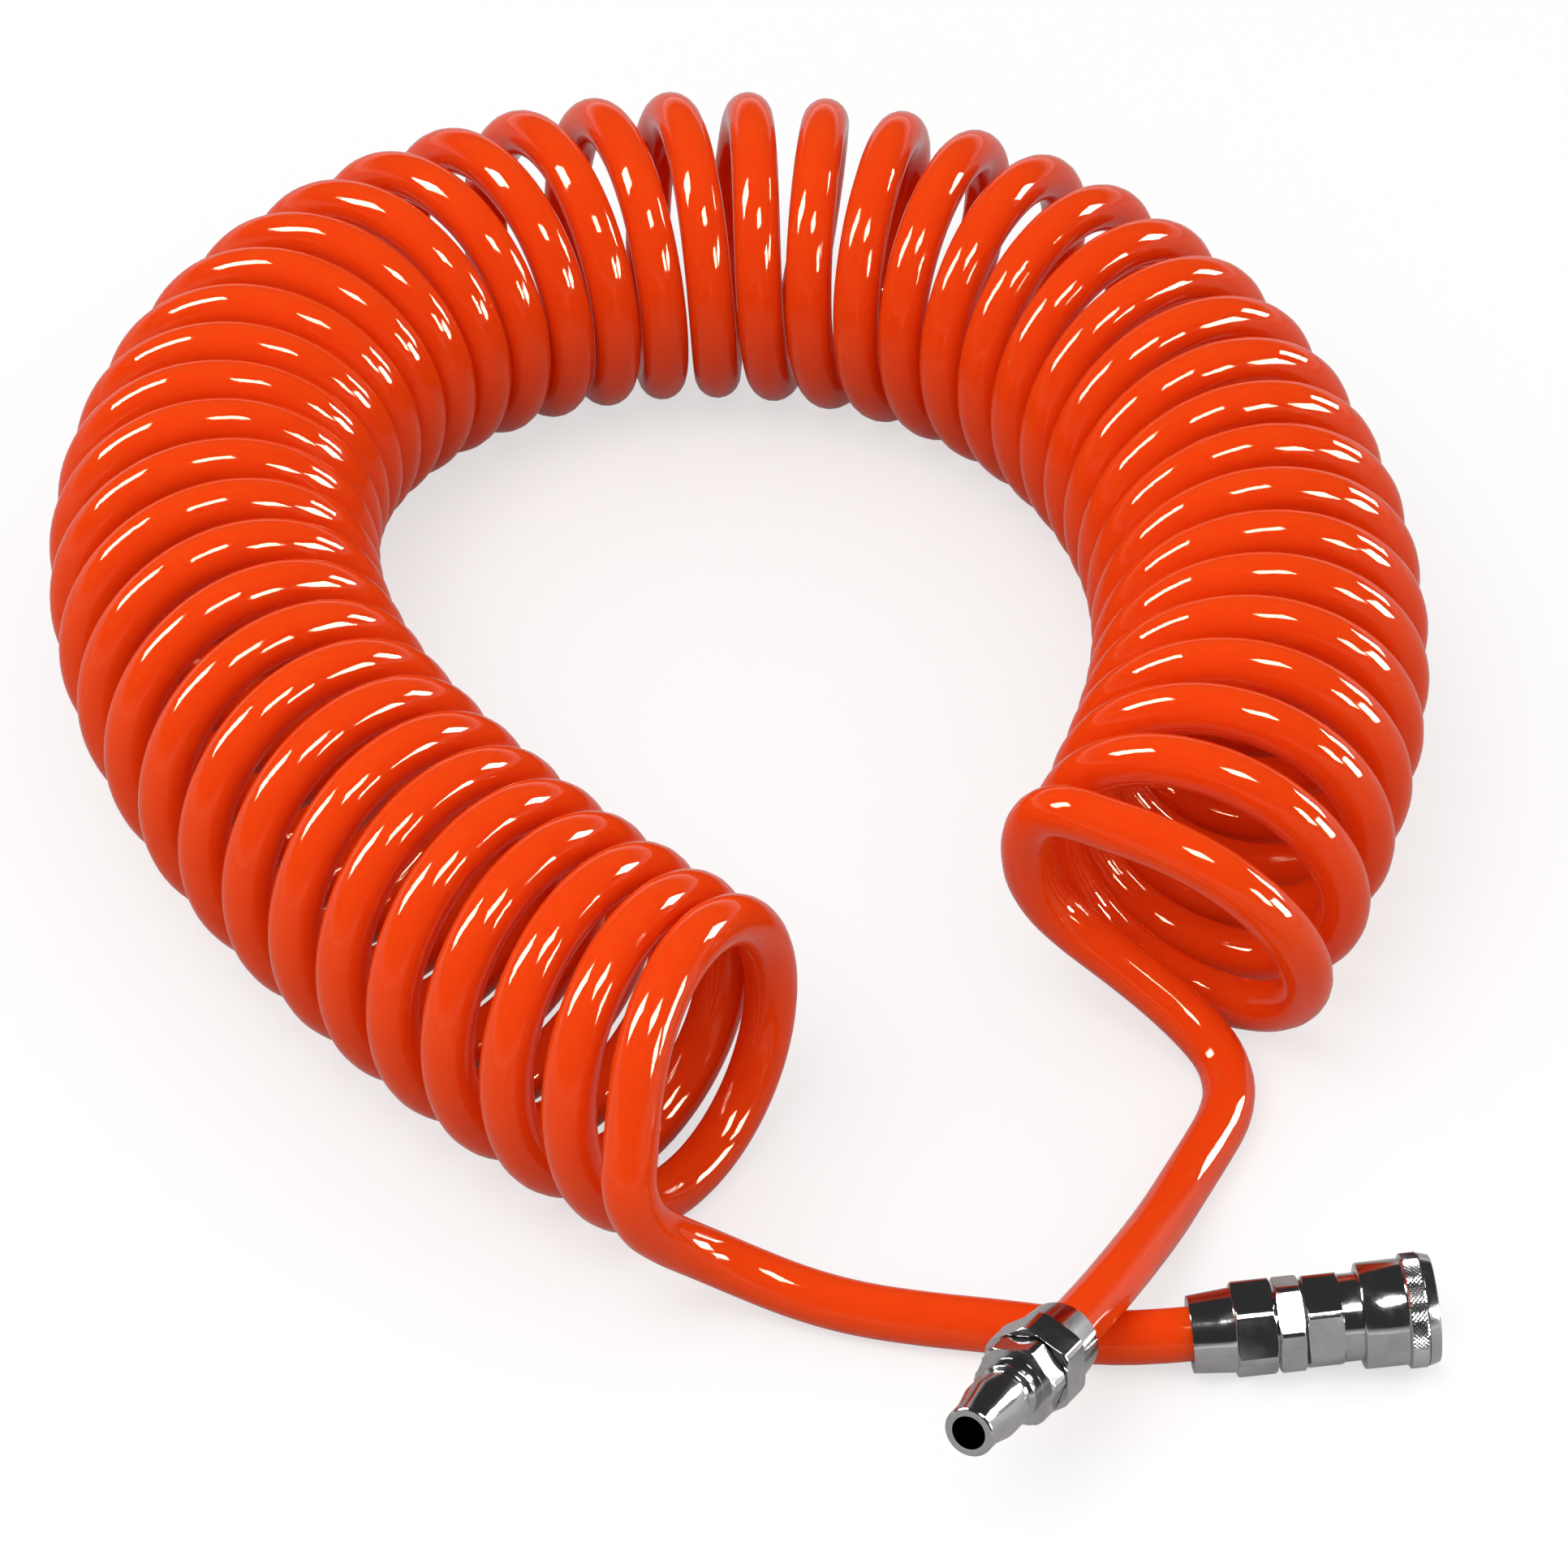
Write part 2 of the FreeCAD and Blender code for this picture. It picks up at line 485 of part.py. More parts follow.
# Plug
outline = stem_and_neck()
outline += hexagon("neck_end", "neck_end + plug_hex_length", "plug_corner_radius",
                   "plug_face_radius")
outline += [("neck_end + plug_hex_length", "plug_radius"),
            ("lock - body_start", "plug_radius"), ("lock - groove_end", "groove_radius"),
            ("lock + groove_start", "groove_radius"),
            ("lock + shoulder_end", "plug_radius"),
            ("plug_length - cone_end", "plug_radius"),
            ("plug_length - tip_length", "tip_radius"),
            ("plug_length - tip_bevel", "tip_radius"),
            ("plug_length", "tip_radius - tip_bevel"), ("plug_length", "nose_bore_radius"),
            ("plug_length - nose_bore_depth", "nose_bore_radius"),
            ("plug_length - nose_bore_depth - nose_bore_cone", "stem_bore_radius"),
            ("stem_start", "stem_bore_radius")]
plug_body = turned("plug_body", outline, plug * turned_about_axis(size("plug_turn")))
pieces.append(cut_hexagon(plug_body, "plug_flats", "neck_end", "plug_hex_length"))


def arc(start, corner, end):
    """The arc that leaves start towards corner and comes into end from it."""
    middle = (start + end) * 0.5
    half = (end - start).Length / 2
    lean = math.acos(min(1.0, half / (corner - start).Length))
    rise = corner - middle
    if rise.Length < 1e-6:
        return Part.LineSegment(start, end).toShape()
    top = middle + rise.normalize() * (half * math.tan(lean / 2))
    return Part.Arc(start, top, end).toShape()


def two_arcs(start, leaving, end, arriving):
    """Two arcs that join start to end with the given directions."""
    span = end - start
    both = leaving + arriving
    k = 2 * (1 - leaving.dot(arriving))
    reach = (-span.dot(both) + math.sqrt(span.dot(both) ** 2 + k * span.dot(span))) / k
    first = start + leaving * reach
    second = end - arriving * reach
    meet = (first + second) * 0.5
    return [arc(start, first, meet), arc(meet, second, end)]


def direction(curve, t):
    small = 1e-3
    return (curve(t + small) - curve(t - small)).normalize()


def wound(curve, first, last, straight):
    """Wire along a wound curve in quarter turns, with a straight length at either end."""
    quarters = int(math.ceil((last - first) * 4 - 1e-9))
    places = [first + (last - first) * i / quarters for i in range(quarters + 1)]
    points = [curve(t) for t in places]
    ways = [direction(curve, t) for t in places]
    start = points[0] - ways[0] * straight
    end = points[-1] + ways[-1] * straight
    edges = [Part.LineSegment(start, points[0]).toShape()]
    for i in range(quarters):
        edges += two_arcs(points[i], ways[i], points[i + 1], ways[i + 1])
    edges.append(Part.LineSegment(points[-1], end).toShape())
    return Part.Wire(edges), start, ways[0], end, ways[-1]


def tube(wire, start, way, radius):
    ring = Part.Wire(Part.Circle(start, way, radius).toShape())
    return wire.makePipeShell([ring], True, False)


def feature(name, shape, place=None):
    item = doc.addObject("Part::Feature", name)
    item.Label = name
    item.Shape = shape
    if place is not None:
        item.Placement = place
    pieces.append(item)
    return item


def spring(name, start, end, radius, wire, turns):
    """Compression spring between two places on the socket's axis."""
    low = size(start) + size("spring_play") + size(wire) / 2
    high = size(end) - size("spring_play") - size(wire) / 2

    def curve(t):
        angle = 2 * math.pi * t
        return V(low + (high - low) * t / size(turns),
                 size(radius) * math.cos(angle), size(radius) * math.sin(angle))

    path, first, way, last, end_way = wound(curve, 0.0, size(turns), size(wire))
    pitch = (high - low) / size(turns)
    print("  %s: least gap between turns %.2f mm" % (name, pitch - size(wire)))
    feature(name, tube(path, first, way, size(wire) / 2), socket)


spring("sleeve_spring", "face + body_hex_length + body_neck_length", "chamber_front",
       "sleeve_spring_radius", "sleeve_spring_wire", "sleeve_spring_turns")
spring("valve_spring", "spring_room", "flange_front - valve_flange_width",
       "valve_spring_radius", "valve_spring_wire", "valve_spring_turns")


def station(values, t):
    """Value at turn t, evenly between the stations."""
    place = min(max(t / LOOPS_PER_STATION, 0.0), len(values) - 1.0)
    k = min(int(place), len(values) - 2)
    return values[k] + (values[k + 1] - values[k]) * (place - k)


def middle_line():
    """The coil's middle line on the floor: x, y and heading, from one turn before its start."""
    radius = size("coil_radius")
    x, y, heading = size("coil_start_x"), size("coil_start_y"), math.radians(size("coil_heading"))
    line = [(x, y, heading)]
    for i in range(int((size("coil_loops") + 3) * STEPS_PER_TURN)):
        t = -1 + (i + 0.5) / STEPS_PER_TURN
        bend = math.radians(station(BEND, t)) / STEPS_PER_TURN
        advance = station(INNER_PITCH, t) / STEPS_PER_TURN + radius * bend
        x += advance * math.cos(heading - bend / 2)
        y += advance * math.sin(heading - bend / 2)
        heading -= bend
        line.append((x, y, heading))
    return line


MIDDLE = middle_line()


def coil_point(t):
    """Middle of the hose at turn t of the coil."""
    step = (t + 1) * STEPS_PER_TURN
    k = min(int(step), len(MIDDLE) - 2)
    x, y, heading = [MIDDLE[k][j] + (MIDDLE[k + 1][j] - MIDDLE[k][j]) * (step - k)
                     for j in range(3)]
    from_first = t - size("first_top")
    near_start = 2.0 ** -max(from_first, 0.0)
    near_end = 2.0 ** -max(size("coil_loops") - from_first, 0.0)
    lean = math.radians(size("first_lean") * near_start + size("last_lean") * near_end)
    facing = heading + math.radians(size("loop_yaw") + size("last_yaw") * near_end)
    angle = 2 * math.pi * from_first
    side = size("coil_radius") * math.sin(angle) + size("last_shift") * near_end
    height = size("coil_radius") * (1 + math.cos(angle))
    ahead = height * math.sin(lean)
    return V(x + side * math.sin(facing) + ahead * math.cos(facing),
             y - side * math.cos(facing) + ahead * math.sin(facing),
             size("hose_diameter / 2 - floor_cut") + height * math.cos(lean))


def least_distance(points, others=None, apart=0):
    """Least distance between two rows of points, or within one row of points far apart on it."""
    cell = size("hose_diameter") * 4 / 3
    rows = {}
    for j, p in enumerate(others or points):
        rows.setdefault((int(p.x // cell), int(p.y // cell), int(p.z // cell)), []).append((j, p))
    least = cell
    for i, p in enumerate(points):
        key = (int(p.x // cell), int(p.y // cell), int(p.z // cell))
        for dx in (-1, 0, 1):
            for dy in (-1, 0, 1):
                for dz in (-1, 0, 1):
                    for j, q in rows.get((key[0] + dx, key[1] + dy, key[2] + dz), []):
                        if others or abs(i - j) > apart:
                            least = min(least, (p - q).Length)
    return least


# The coil, hollow, standing on small flats
first = size("first_top - start_angle / 360")
last = size("first_top + coil_loops")
coil_wire, coil_start, start_way, coil_end, end_way = wound(
    coil_point, first, last, size("straight_end"))
looks = int((last - first) * LOOKS_PER_TURN)
coil_points = [coil_point(first + (last - first) * i / looks) for i in range(looks + 1)]
least = least_distance(coil_points, None, LOOKS_PER_TURN // 2)
print("  hose_coil: hose %.0f mm long, least gap between its turns %.2f mm"
      % (coil_wire.Length, least - size("hose_diameter")))
coil = tube(coil_wire, coil_start, start_way, size("hose_diameter") / 2)
under = Part.makeBox(2 * FLOOR_REACH, 2 * FLOOR_REACH, size("hose_diameter"),
                     V(-FLOOR_REACH, -FLOOR_REACH, -size("hose_diameter")))
coil = coil.cut(under).cut(tube(coil_wire, coil_start, start_way, size("hose_bore") / 2))
feature("hose_coil", coil.Solids[0])


def rounded(points):
    """Wire along straight runs joined by arcs as large as the runs allow, and its radii."""
    radii = []
    edges = []
    here = points[0]
    for before, corner, after in zip(points, points[1:], points[2:]):
        back = (before - corner).normalize()
        on = (after - corner).normalize()
        shorter = min((before - corner).Length, (after - corner).Length)
        turn = math.pi - back.getAngle(on)
        cut = ARC_SHARE * shorter
        radii.append(cut / math.tan(turn / 2))
        start = corner + back * cut
        end = corner + on * cut
        edges.append(Part.LineSegment(here, start).toShape())
        edges.append(arc(start, corner, end))
        here = end
    edges.append(Part.LineSegment(here, points[-1]).toShape())
    return Part.Wire(edges), radii


def tail(name, points):
    """A free end of the hose, hollow."""
    wire, radii = rounded(points)
    way = (points[1] - points[0]).normalize()
    outer = tube(wire, points[0], way, size("hose_diameter") / 2)
    shape = outer.cut(tube(wire, points[0], way, size("hose_bore") / 2)).Solids[0]
    section = math.pi * size("(hose_diameter * hose_diameter - hose_bore * hose_bore) / 4")
    print("  %s: %.0f mm long, volume %.3f of section times length, radii %s"
          % (name, wire.Length, shape.Volume / section / wire.Length,
             " ".join("%.0f" % r for r in radii)))
    feature(name, shape)
    count = int(wire.Length)
    return wire.discretize(count)


def along(place, distance):
    return place.multVec(V(distance, 0, 0))


# The first and the last two points of each tail follow the coil and the couplings. The plug's
# tail starts at the top of the last loop, comes down its side and lies on the floor. Then it
# rises over the socket's tail into the plug.
SOCKET_LEAD = 7.5
PLUG_LEAD = 6.5
socket_tail = tail("socket_tail", [
    coil_start, coil_start - start_way * SOCKET_LEAD,
    V(-18.5, -164.5, 30.5), V(-13.3, -161.3, 22.5), V(-5, -158.8, 15.5), V(5, -159.3, 10),
    V(16.5, -162.5, 6.8), V(29, -166.5, 6), V(43.5, -169.5, 6), V(60, -171.8, 6),
    V(76, -174.8, 6), along(socket, -8), along(socket, size("hose_end"))])
plug_tail = tail("plug_tail", [
    coil_end, coil_end + end_way * PLUG_LEAD,
    V(71.3, -70.5, 67.2), V(68, -67.3, 60.7), V(67.2, -65, 52), V(68.6, -63.3, 42),
    V(73, -62.3, 33), V(80, -64, 26.5), V(88.5, -68, 21.7), V(98, -73.5, 16.5),
    V(106, -78.8, 11.3), V(112, -85.5, 7.7), V(114, -95, 6), V(112, -105.3, 6),
    V(107.3, -115.5, 6), V(101.5, -128, 6.8), V(95.5, -143, 10), V(87.5, -162, 16),
    along(plug, -12), along(plug, size("hose_end"))])
for name, points in (("socket_tail", socket_tail), ("plug_tail", plug_tail)):
    beyond = points[int(size("hose_diameter")):]
    clear = least_distance(beyond, coil_points)
    print("  %s: least gap to the coil %.2f mm" % (name, clear - size("hose_diameter")))
crossing = least_distance(socket_tail, plug_tail)
print("  least gap between the tails %.2f mm" % (crossing - size("hose_diameter")))

doc.recompute()
for item in doc.Objects:
    if "Invalid" in item.State or "Error" in item.State:
        raise SystemExit("%s failed: %s" % (item.Name, item.State))
for item in pieces:
    if item.Shape.isNull() or not item.Shape.isValid() or len(item.Shape.Solids) != 1:
        raise SystemExit("%s is not one valid solid" % item.Label)
os.makedirs("parts", exist_ok=True)
whole = FreeCAD.BoundBox()
for item in pieces:
    item.Shape.exportStep("parts/%s.step" % item.Label)
    whole.add(item.Shape.optimalBoundingBox(False, False))
print("%d pieces, box X %.2f to %.2f, Y %.2f to %.2f, Z %.2f to %.2f"
      % (len(pieces), whole.XMin, whole.XMax, whole.YMin, whole.YMax, whole.ZMin, whole.ZMax))
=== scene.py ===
"""Looks of a coiled recoil air hose with its one-touch couplings.

The scene is in metres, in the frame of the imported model. The tables at the top are in
millimetres and degrees unless they say otherwise. Along a coupling, places are measured from
the end where the hose goes in.
"""

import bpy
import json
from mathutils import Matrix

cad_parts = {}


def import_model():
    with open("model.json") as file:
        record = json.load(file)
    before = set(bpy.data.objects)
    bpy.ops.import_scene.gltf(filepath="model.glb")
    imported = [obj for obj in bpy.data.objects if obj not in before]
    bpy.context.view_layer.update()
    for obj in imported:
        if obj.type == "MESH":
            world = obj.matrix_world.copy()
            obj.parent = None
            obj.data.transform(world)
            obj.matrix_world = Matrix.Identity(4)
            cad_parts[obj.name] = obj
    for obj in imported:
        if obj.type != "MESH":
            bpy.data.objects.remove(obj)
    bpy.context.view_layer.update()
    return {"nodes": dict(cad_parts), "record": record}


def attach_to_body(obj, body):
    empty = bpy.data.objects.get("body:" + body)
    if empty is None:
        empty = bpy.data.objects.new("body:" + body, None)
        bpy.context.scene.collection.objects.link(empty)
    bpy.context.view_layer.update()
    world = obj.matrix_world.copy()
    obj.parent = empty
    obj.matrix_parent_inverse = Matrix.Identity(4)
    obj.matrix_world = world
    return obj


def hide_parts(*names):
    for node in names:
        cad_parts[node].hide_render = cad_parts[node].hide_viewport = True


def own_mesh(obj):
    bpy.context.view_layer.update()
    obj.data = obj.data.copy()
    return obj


bl_info = {
    "name": "Recoil Air Hose",
    "version": (1, 0, 0),
    "blender": (4, 5, 0),
    "location": "3D View > Sidebar > Air Hose",
    "description": "Dresses a coiled air hose and its couplings",
    "category": "Object",
}

import json
import math

import bpy
from mathutils import Matrix, Vector

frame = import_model()

MM = 0.001
WHITE = (1, 1, 1, 1)

# How far the coil's middle line turns at each loop, and how far apart the loops stand on the
# inner side of the bend, set at every fifth loop.
LOOPS_PER_STATION = 5
BEND = [4.5, 1.75, 5.0, 6.5, 8.75, 8.5, 8.5, 5.25, 4.75, 2.75]
INNER_PITCH = [14.5, 15.5, 15.5, 12.5, 12.5, 12.5, 13.5, 15.0, 13.5, 12.5]
STEPS_PER_TURN = 64
# Where that line is one turn before the coil's first: x, y and heading.
COIL_START = (14.4, -140.2, 151.0)
# The top of the first loop, in turns, how far before it the coil starts, and how far the hose
# runs straight on at either end of the coil.
FIRST_TOP = 0.133
START_ANGLE = 60.0
STRAIGHT_END = 12.0
# How far the loops stand off square. The first and the last loop also lean or shift, and each
# loop further in does so by half as much.
LOOP_YAW = 4.0
FIRST_LEAN = 6.0
LAST_LEAN = 18.0
LAST_YAW = -15.3
LAST_SHIFT = -5.4

# The free ends, from the coil to the couplings: a straight lead, then the points that the hose
# follows.
SOCKET_LEAD = 7.5
SOCKET_TAIL = [
    (-18.5, -164.5, 30.5), (-13.3, -161.3, 22.5), (-5, -158.8, 15.5), (5, -159.3, 10),
    (16.5, -162.5, 6.8), (29, -166.5, 6), (43.5, -169.5, 6), (60, -171.8, 6),
    (76, -174.8, 6)]
PLUG_LEAD = 6.5
PLUG_TAIL = [
    (71.3, -70.5, 67.2), (68, -67.3, 60.7), (67.2, -65, 52), (68.6, -63.3, 42),
    (73, -62.3, 33), (80, -64, 26.5), (88.5, -68, 21.7), (98, -73.5, 16.5),
    (106, -78.8, 11.3), (112, -85.5, 7.7), (114, -95, 6), (112, -105.3, 6),
    (107.3, -115.5, 6), (101.5, -128, 6.8), (95.5, -143, 10), (87.5, -162, 16)]
# How far the hose goes into a coupling, and where it comes into line with it.
HOSE_END = 12.8
SOCKET_RUN_IN = -8.0
PLUG_RUN_IN = -12.0

# Where the couplings lie: hose end, heading and slope.
SOCKET = ((99.9, -177.2, 9.011), 4.4, 4.4)
PLUG = ((71.1, -196.1, 26.5), -117.8, 15.6)

# Outline of the locking sleeve, as places along the socket and radii. It runs from the hose
# end along the outside to the mouth and back along the inside. The knurl stands between the
# two lists.
SLEEVE_OUTSIDE = [(36.7, 11.0), (36.85, 11.35), (37.2, 11.5), (45.95, 11.5), (46.25, 11.42),
                  (46.4, 11.6), (46.4, 12.0), (46.6, 12.2)]
SLEEVE_MOUTH = [(50.25, 12.25), (50.35, 12.0), (50.45, 12.25), (52.4, 11.75), (52.75, 11.6),
                (52.9, 11.4), (52.9, 10.1), (52.75, 9.9), (51.2, 9.9), (48.05, 8.68),
                (48.05, 8.6), (45.2, 8.6), (45.2, 9.6), (36.7, 9.6)]
KNURL_START = 46.7
KNURL_END = 50.0
KNURL_RADIUS = 12.5
# All that stands out further than this between the knurl's ends belongs to it.
KNURL_FOOT = 12.0

# Outline of the plug, from the barbs in the hose along the outside to the tip and back along
# the air way, and the hexagon that is milled on it: half its width and its turn.
PLUG_OUTLINE = [(3, 3.5), (5.5, 3.9), (5.5, 3.5), (8, 3.9), (8, 3.5), (10.5, 3.9), (10.5, 3.5),
                (13, 3.9), (13, 7.4), (18.6, 7.4), (18.6, 8.8), (19, 9.4), (24, 9.4),
                (24.4, 8.8), (24.4, 6.6), (28.2, 6.6), (28.8, 5.5), (30.5, 5.5), (31.5, 6.6),
                (36.2, 6.6), (41.5, 5.5), (46.3, 5.5), (46.7, 5.1), (46.7, 3.7), (30.7, 3.7),
                (29.7, 2.8), (3, 2.8)]
PLUG_HEXAGON = (8.5, 17.3)

# Points nearer to each other than this are one, and faces this flat to each other are joined.
SAME_POINT = 0.002
SAME_FLAT = 0.3
# Edges sharper than these are bevelled, and shaded as edges.
BEVELLED_ANGLE = 28
SHADED_ANGLE = 30
KNURL_SHADED_ANGLE = 24
# Weight of the large faces in the shading of the small ones beside them: 50 is even, 100 most.
FLAT_WEIGHT = 80

# Nodes that are copied, and the finish of each.
POLISHED = {
    "socket_hose_nut": "socket", "socket_adapter": "socket", "socket_body": "socket",
    "plug_hose_nut": "plug"}
SMALL_PARTS = {
    "socket_gasket": "rubber", "packing_seal": "rubber", "valve_seal": "rubber",
    "retaining_ring": "steel", "valve_poppet": "brass", "sleeve_spring": "steel",
    "valve_spring": "steel", **{"lock_ball_%d" % number: "steel" for number in range(1, 7)}}
# Where each spring stands on what doesn't move, and the share of its length that is left when
# it is pushed together.
SPRINGS = {"sleeve_spring": ("sleeve_slide", 37.6, 0.58),
           "valve_spring": ("valve_slide", 21.0, 0.58)}

# Names of the materials and of their slots.
FINISHES = {
    "socket": "socket_chrome", "plug": "plug_chrome", "steel": "hard_steel",
    "brass": "turned_brass", "rubber": "black_rubber"}

# What the materials are like. Densities and sizes of grain are per metre.
POLYURETHANE = {
    "IOR": 1.5, "Specular IOR Level": 0.3, "Specular Tint": (1.0, 0.8, 0.5, 1.0),
    "Subsurface Weight": 0.85, "Subsurface Radius": (1.0, 0.25, 0.1),
    "Subsurface Scale": 9 * MM}
HOSE_SKIN = {"ripple_size": 70.0, "grain_size": 1800.0, "grain_share": 0.02, "smooth": 0.02,
             "dull": 0.06}
RUBBER_SKIN = {"ripple_size": 300.0, "grain_size": 5000.0, "grain_share": 0.4,
               "smooth": 0.45, "dull": 0.65}
CHROME_GRAIN = {"line_density": 4200.0, "mark_size": 150.0, "polished": 0.07, "dulled": 0.2}
STEEL_GRAIN = {"line_density": 6000.0, "mark_size": 400.0, "polished": 0.18, "dulled": 0.35}
BRASS_GRAIN = {**STEEL_GRAIN, "dulled": 0.4}
# Depth and strength of the relief.
HOSE_RELIEF = (0.15, 0.5)
RUBBER_RELIEF = (0.03, 0.5)
CHROME_RELIEF = (0.012, 0.6)
MACHINED_RELIEF = (0.02, 0.6)
# Bare metal is this much darker where it is dulled, and rubber this much paler where worn.
DULL_METAL = 0.7
WORN_RUBBER = 2

SENSOR_WIDTH = 36
# Nearest and furthest that the camera sees, in metres.
CAMERA_REACH = (0.01, 50)
# Softboxes: place, width and height in metres, power in watts, and whether gloss shows them.
LAMPS = {
    "key": ((-0.5, -0.7, 1.5), (1.0, 1.0), 10, False),
    "gloss_left": ((-1.1, 0.05, 1.0), (0.35, 0.8), 60, True),
    "gloss_top": ((0.3, -0.62, 1.25), (0.5, 0.3), 34, True),
    "gloss_right": ((1.35, -0.3, 0.35), (0.5, 0.35), 40, True),
    "gloss_front": ((1.05, -0.78, 0.55), (0.3, 0.35), 24, True),
    "gloss_far": ((1.2, 0.5, 0.45), (0.3, 0.4), 26, True)}
# Gloss shows the room white up to the first height and as its ceiling from the second, which
# are sines of the angle above the horizon.
ROOM_HEIGHTS = (0.03, 0.24)
# What the camera sees beyond the floor, as pale as the floor is there.
FAR_FLOOR = (0.92, 0.92, 0.92, 1)


def coupling_frame(place):
    """Matrix of a coupling whose own Z runs from the hose end to the mouth or tip."""
    origin, heading, slope = place
    turn = (Matrix.Rotation(math.radians(heading), 4, "Z")
            @ Matrix.Rotation(math.radians(-slope), 4, "Y")
            @ Matrix.Rotation(math.radians(90), 4, "Y"))
    return Matrix.Translation(Vector(origin) * MM) @ turn


def along(place, distance):
    return coupling_frame(place) @ Vector((0, 0, distance * MM))


def axis_of(place):
    return (coupling_frame(place).to_3x3() @ Vector((0, 0, 1))).normalized()


def select_only(piece):
    bpy.ops.object.select_all(action="DESELECT")
    piece.select_set(True)
    bpy.context.view_layer.objects.active = piece


def body_of_node(node):
    for body, nodes in frame["record"]["behaviour"]["bodies"].items():
        if node in nodes:
            return body
    raise RuntimeError("no body holds " + node)


# Shader nodes

def feed(tree, value, socket):
    """Links an output to a socket, or sets the socket to a plain value."""
    if isinstance(value, bpy.types.NodeSocket):
        tree.links.new(value, socket)
    else:
        socket.default_value = value


def noise(tree, scale, detail, roughness, vector=None, value=None):
    """Noise in space, or along a single value."""
    made = tree.nodes.new("ShaderNodeTexNoise")
    if value is None:
        tree.links.new(vector, made.inputs["Vector"])
    else:
        made.noise_dimensions = "1D"
        tree.links.new(value, made.inputs["W"])
    feed(tree, scale, made.inputs["Scale"])
    feed(tree, detail, made.inputs["Detail"])
    feed(tree, roughness, made.inputs["Roughness"])
    return made.outputs["Fac"]


def stretch(tree, value, low, high, to_low=0.0, to_high=1.0):
    """Maps the span from low to high onto another."""
    made = tree.nodes.new("ShaderNodeMapRange")
    for name, given in (("Value", value), ("From Min", low), ("From Max", high),
                        ("To Min", to_low), ("To Max", to_high)):
        feed(tree, given, made.inputs[name])
    return made.outputs["Result"]


def multiply_add(tree, value, factor, addend):
    made = tree.nodes.new("ShaderNodeMath")
    made.operation = "MULTIPLY_ADD"
    for given, socket in zip((value, factor, addend), made.inputs):
        feed(tree, given, socket)
    return made.outputs["Value"]


def start_group(name, inputs, outputs):
    """A node group with its sockets, its input node and its output node."""
    group = bpy.data.node_groups.new(name, "ShaderNodeTree")
    for label, value in inputs.items():
        kind = "NodeSocketFloat" if isinstance(value, float) else "NodeSocketVector"
        socket = group.interface.new_socket(label, in_out="INPUT", socket_type=kind)
        socket.default_value = value
    for label in outputs:
        group.interface.new_socket(label, in_out="OUTPUT", socket_type="NodeSocketFloat")
    return group, group.nodes.new("NodeGroupInput").outputs, group.nodes.new("NodeGroupOutput")


def turned_metal_group():
    """Fine lathe lines across an axis, with handling marks that dull the polish."""
    if "turned_metal" in bpy.data.node_groups:
        return bpy.data.node_groups["turned_metal"]
    group, given, made = start_group(
        "turned_metal",
        {"Axis": (1, 0, 0), "Line Density": 5000.0, "Mark Size": 260.0, "Polished": 0.1,
         "Dulled": 0.3},
        ["Roughness", "Height", "Tarnish"])
    place = group.nodes.new("ShaderNodeTexCoord").outputs["Object"]
    reach = group.nodes.new("ShaderNodeVectorMath")
    reach.operation = "DOT_PRODUCT"
    group.links.new(place, reach.inputs[0])
    group.links.new(given["Axis"], reach.inputs[1])
    lines = noise(group, given["Line Density"], detail=2.0, roughness=0.5,
                  value=reach.outputs["Value"])
    marks = noise(group, given["Mark Size"], detail=6.0, roughness=0.62, vector=place)
    worn = stretch(group, marks, 0.45, 0.72)
    rough = stretch(group, worn, 0.0, 1.0, given["Polished"], given["Dulled"])
    height = multiply_add(group, marks, 0.35, lines)
    group.links.new(rough, made.inputs["Roughness"])
    group.links.new(height, made.inputs["Height"])
    group.links.new(worn, made.inputs["Tarnish"])
    return group


def soft_skin_group():
    """Slow ripples and a fine grain of extruded or moulded plastic, and a slow colour drift."""
    if "soft_skin" in bpy.data.node_groups:
        return bpy.data.node_groups["soft_skin"]
    group, given, made = start_group(
        "soft_skin",
        {"Ripple Size": 90.0, "Grain Size": 2500.0, "Grain Share": 0.03, "Smooth": 0.05,
         "Dull": 0.15},
        ["Height", "Drift", "Roughness"])
    place = group.nodes.new("ShaderNodeTexCoord").outputs["Object"]
    ripple = noise(group, given["Ripple Size"], detail=2.0, roughness=0.5, vector=place)
    grain = noise(group, given["Grain Size"], detail=3.0, roughness=0.5, vector=place)
    height = multiply_add(group, grain, given["Grain Share"], ripple)
    rough = stretch(group, grain, 0.35, 0.7, given["Smooth"], given["Dull"])
    group.links.new(height, made.inputs["Height"])
    group.links.new(ripple, made.inputs["Drift"])
    group.links.new(rough, made.inputs["Roughness"])
    return group


# Materials

def new_material(name):
    material = bpy.data.materials.new(name)
    material.use_nodes = True
    return material


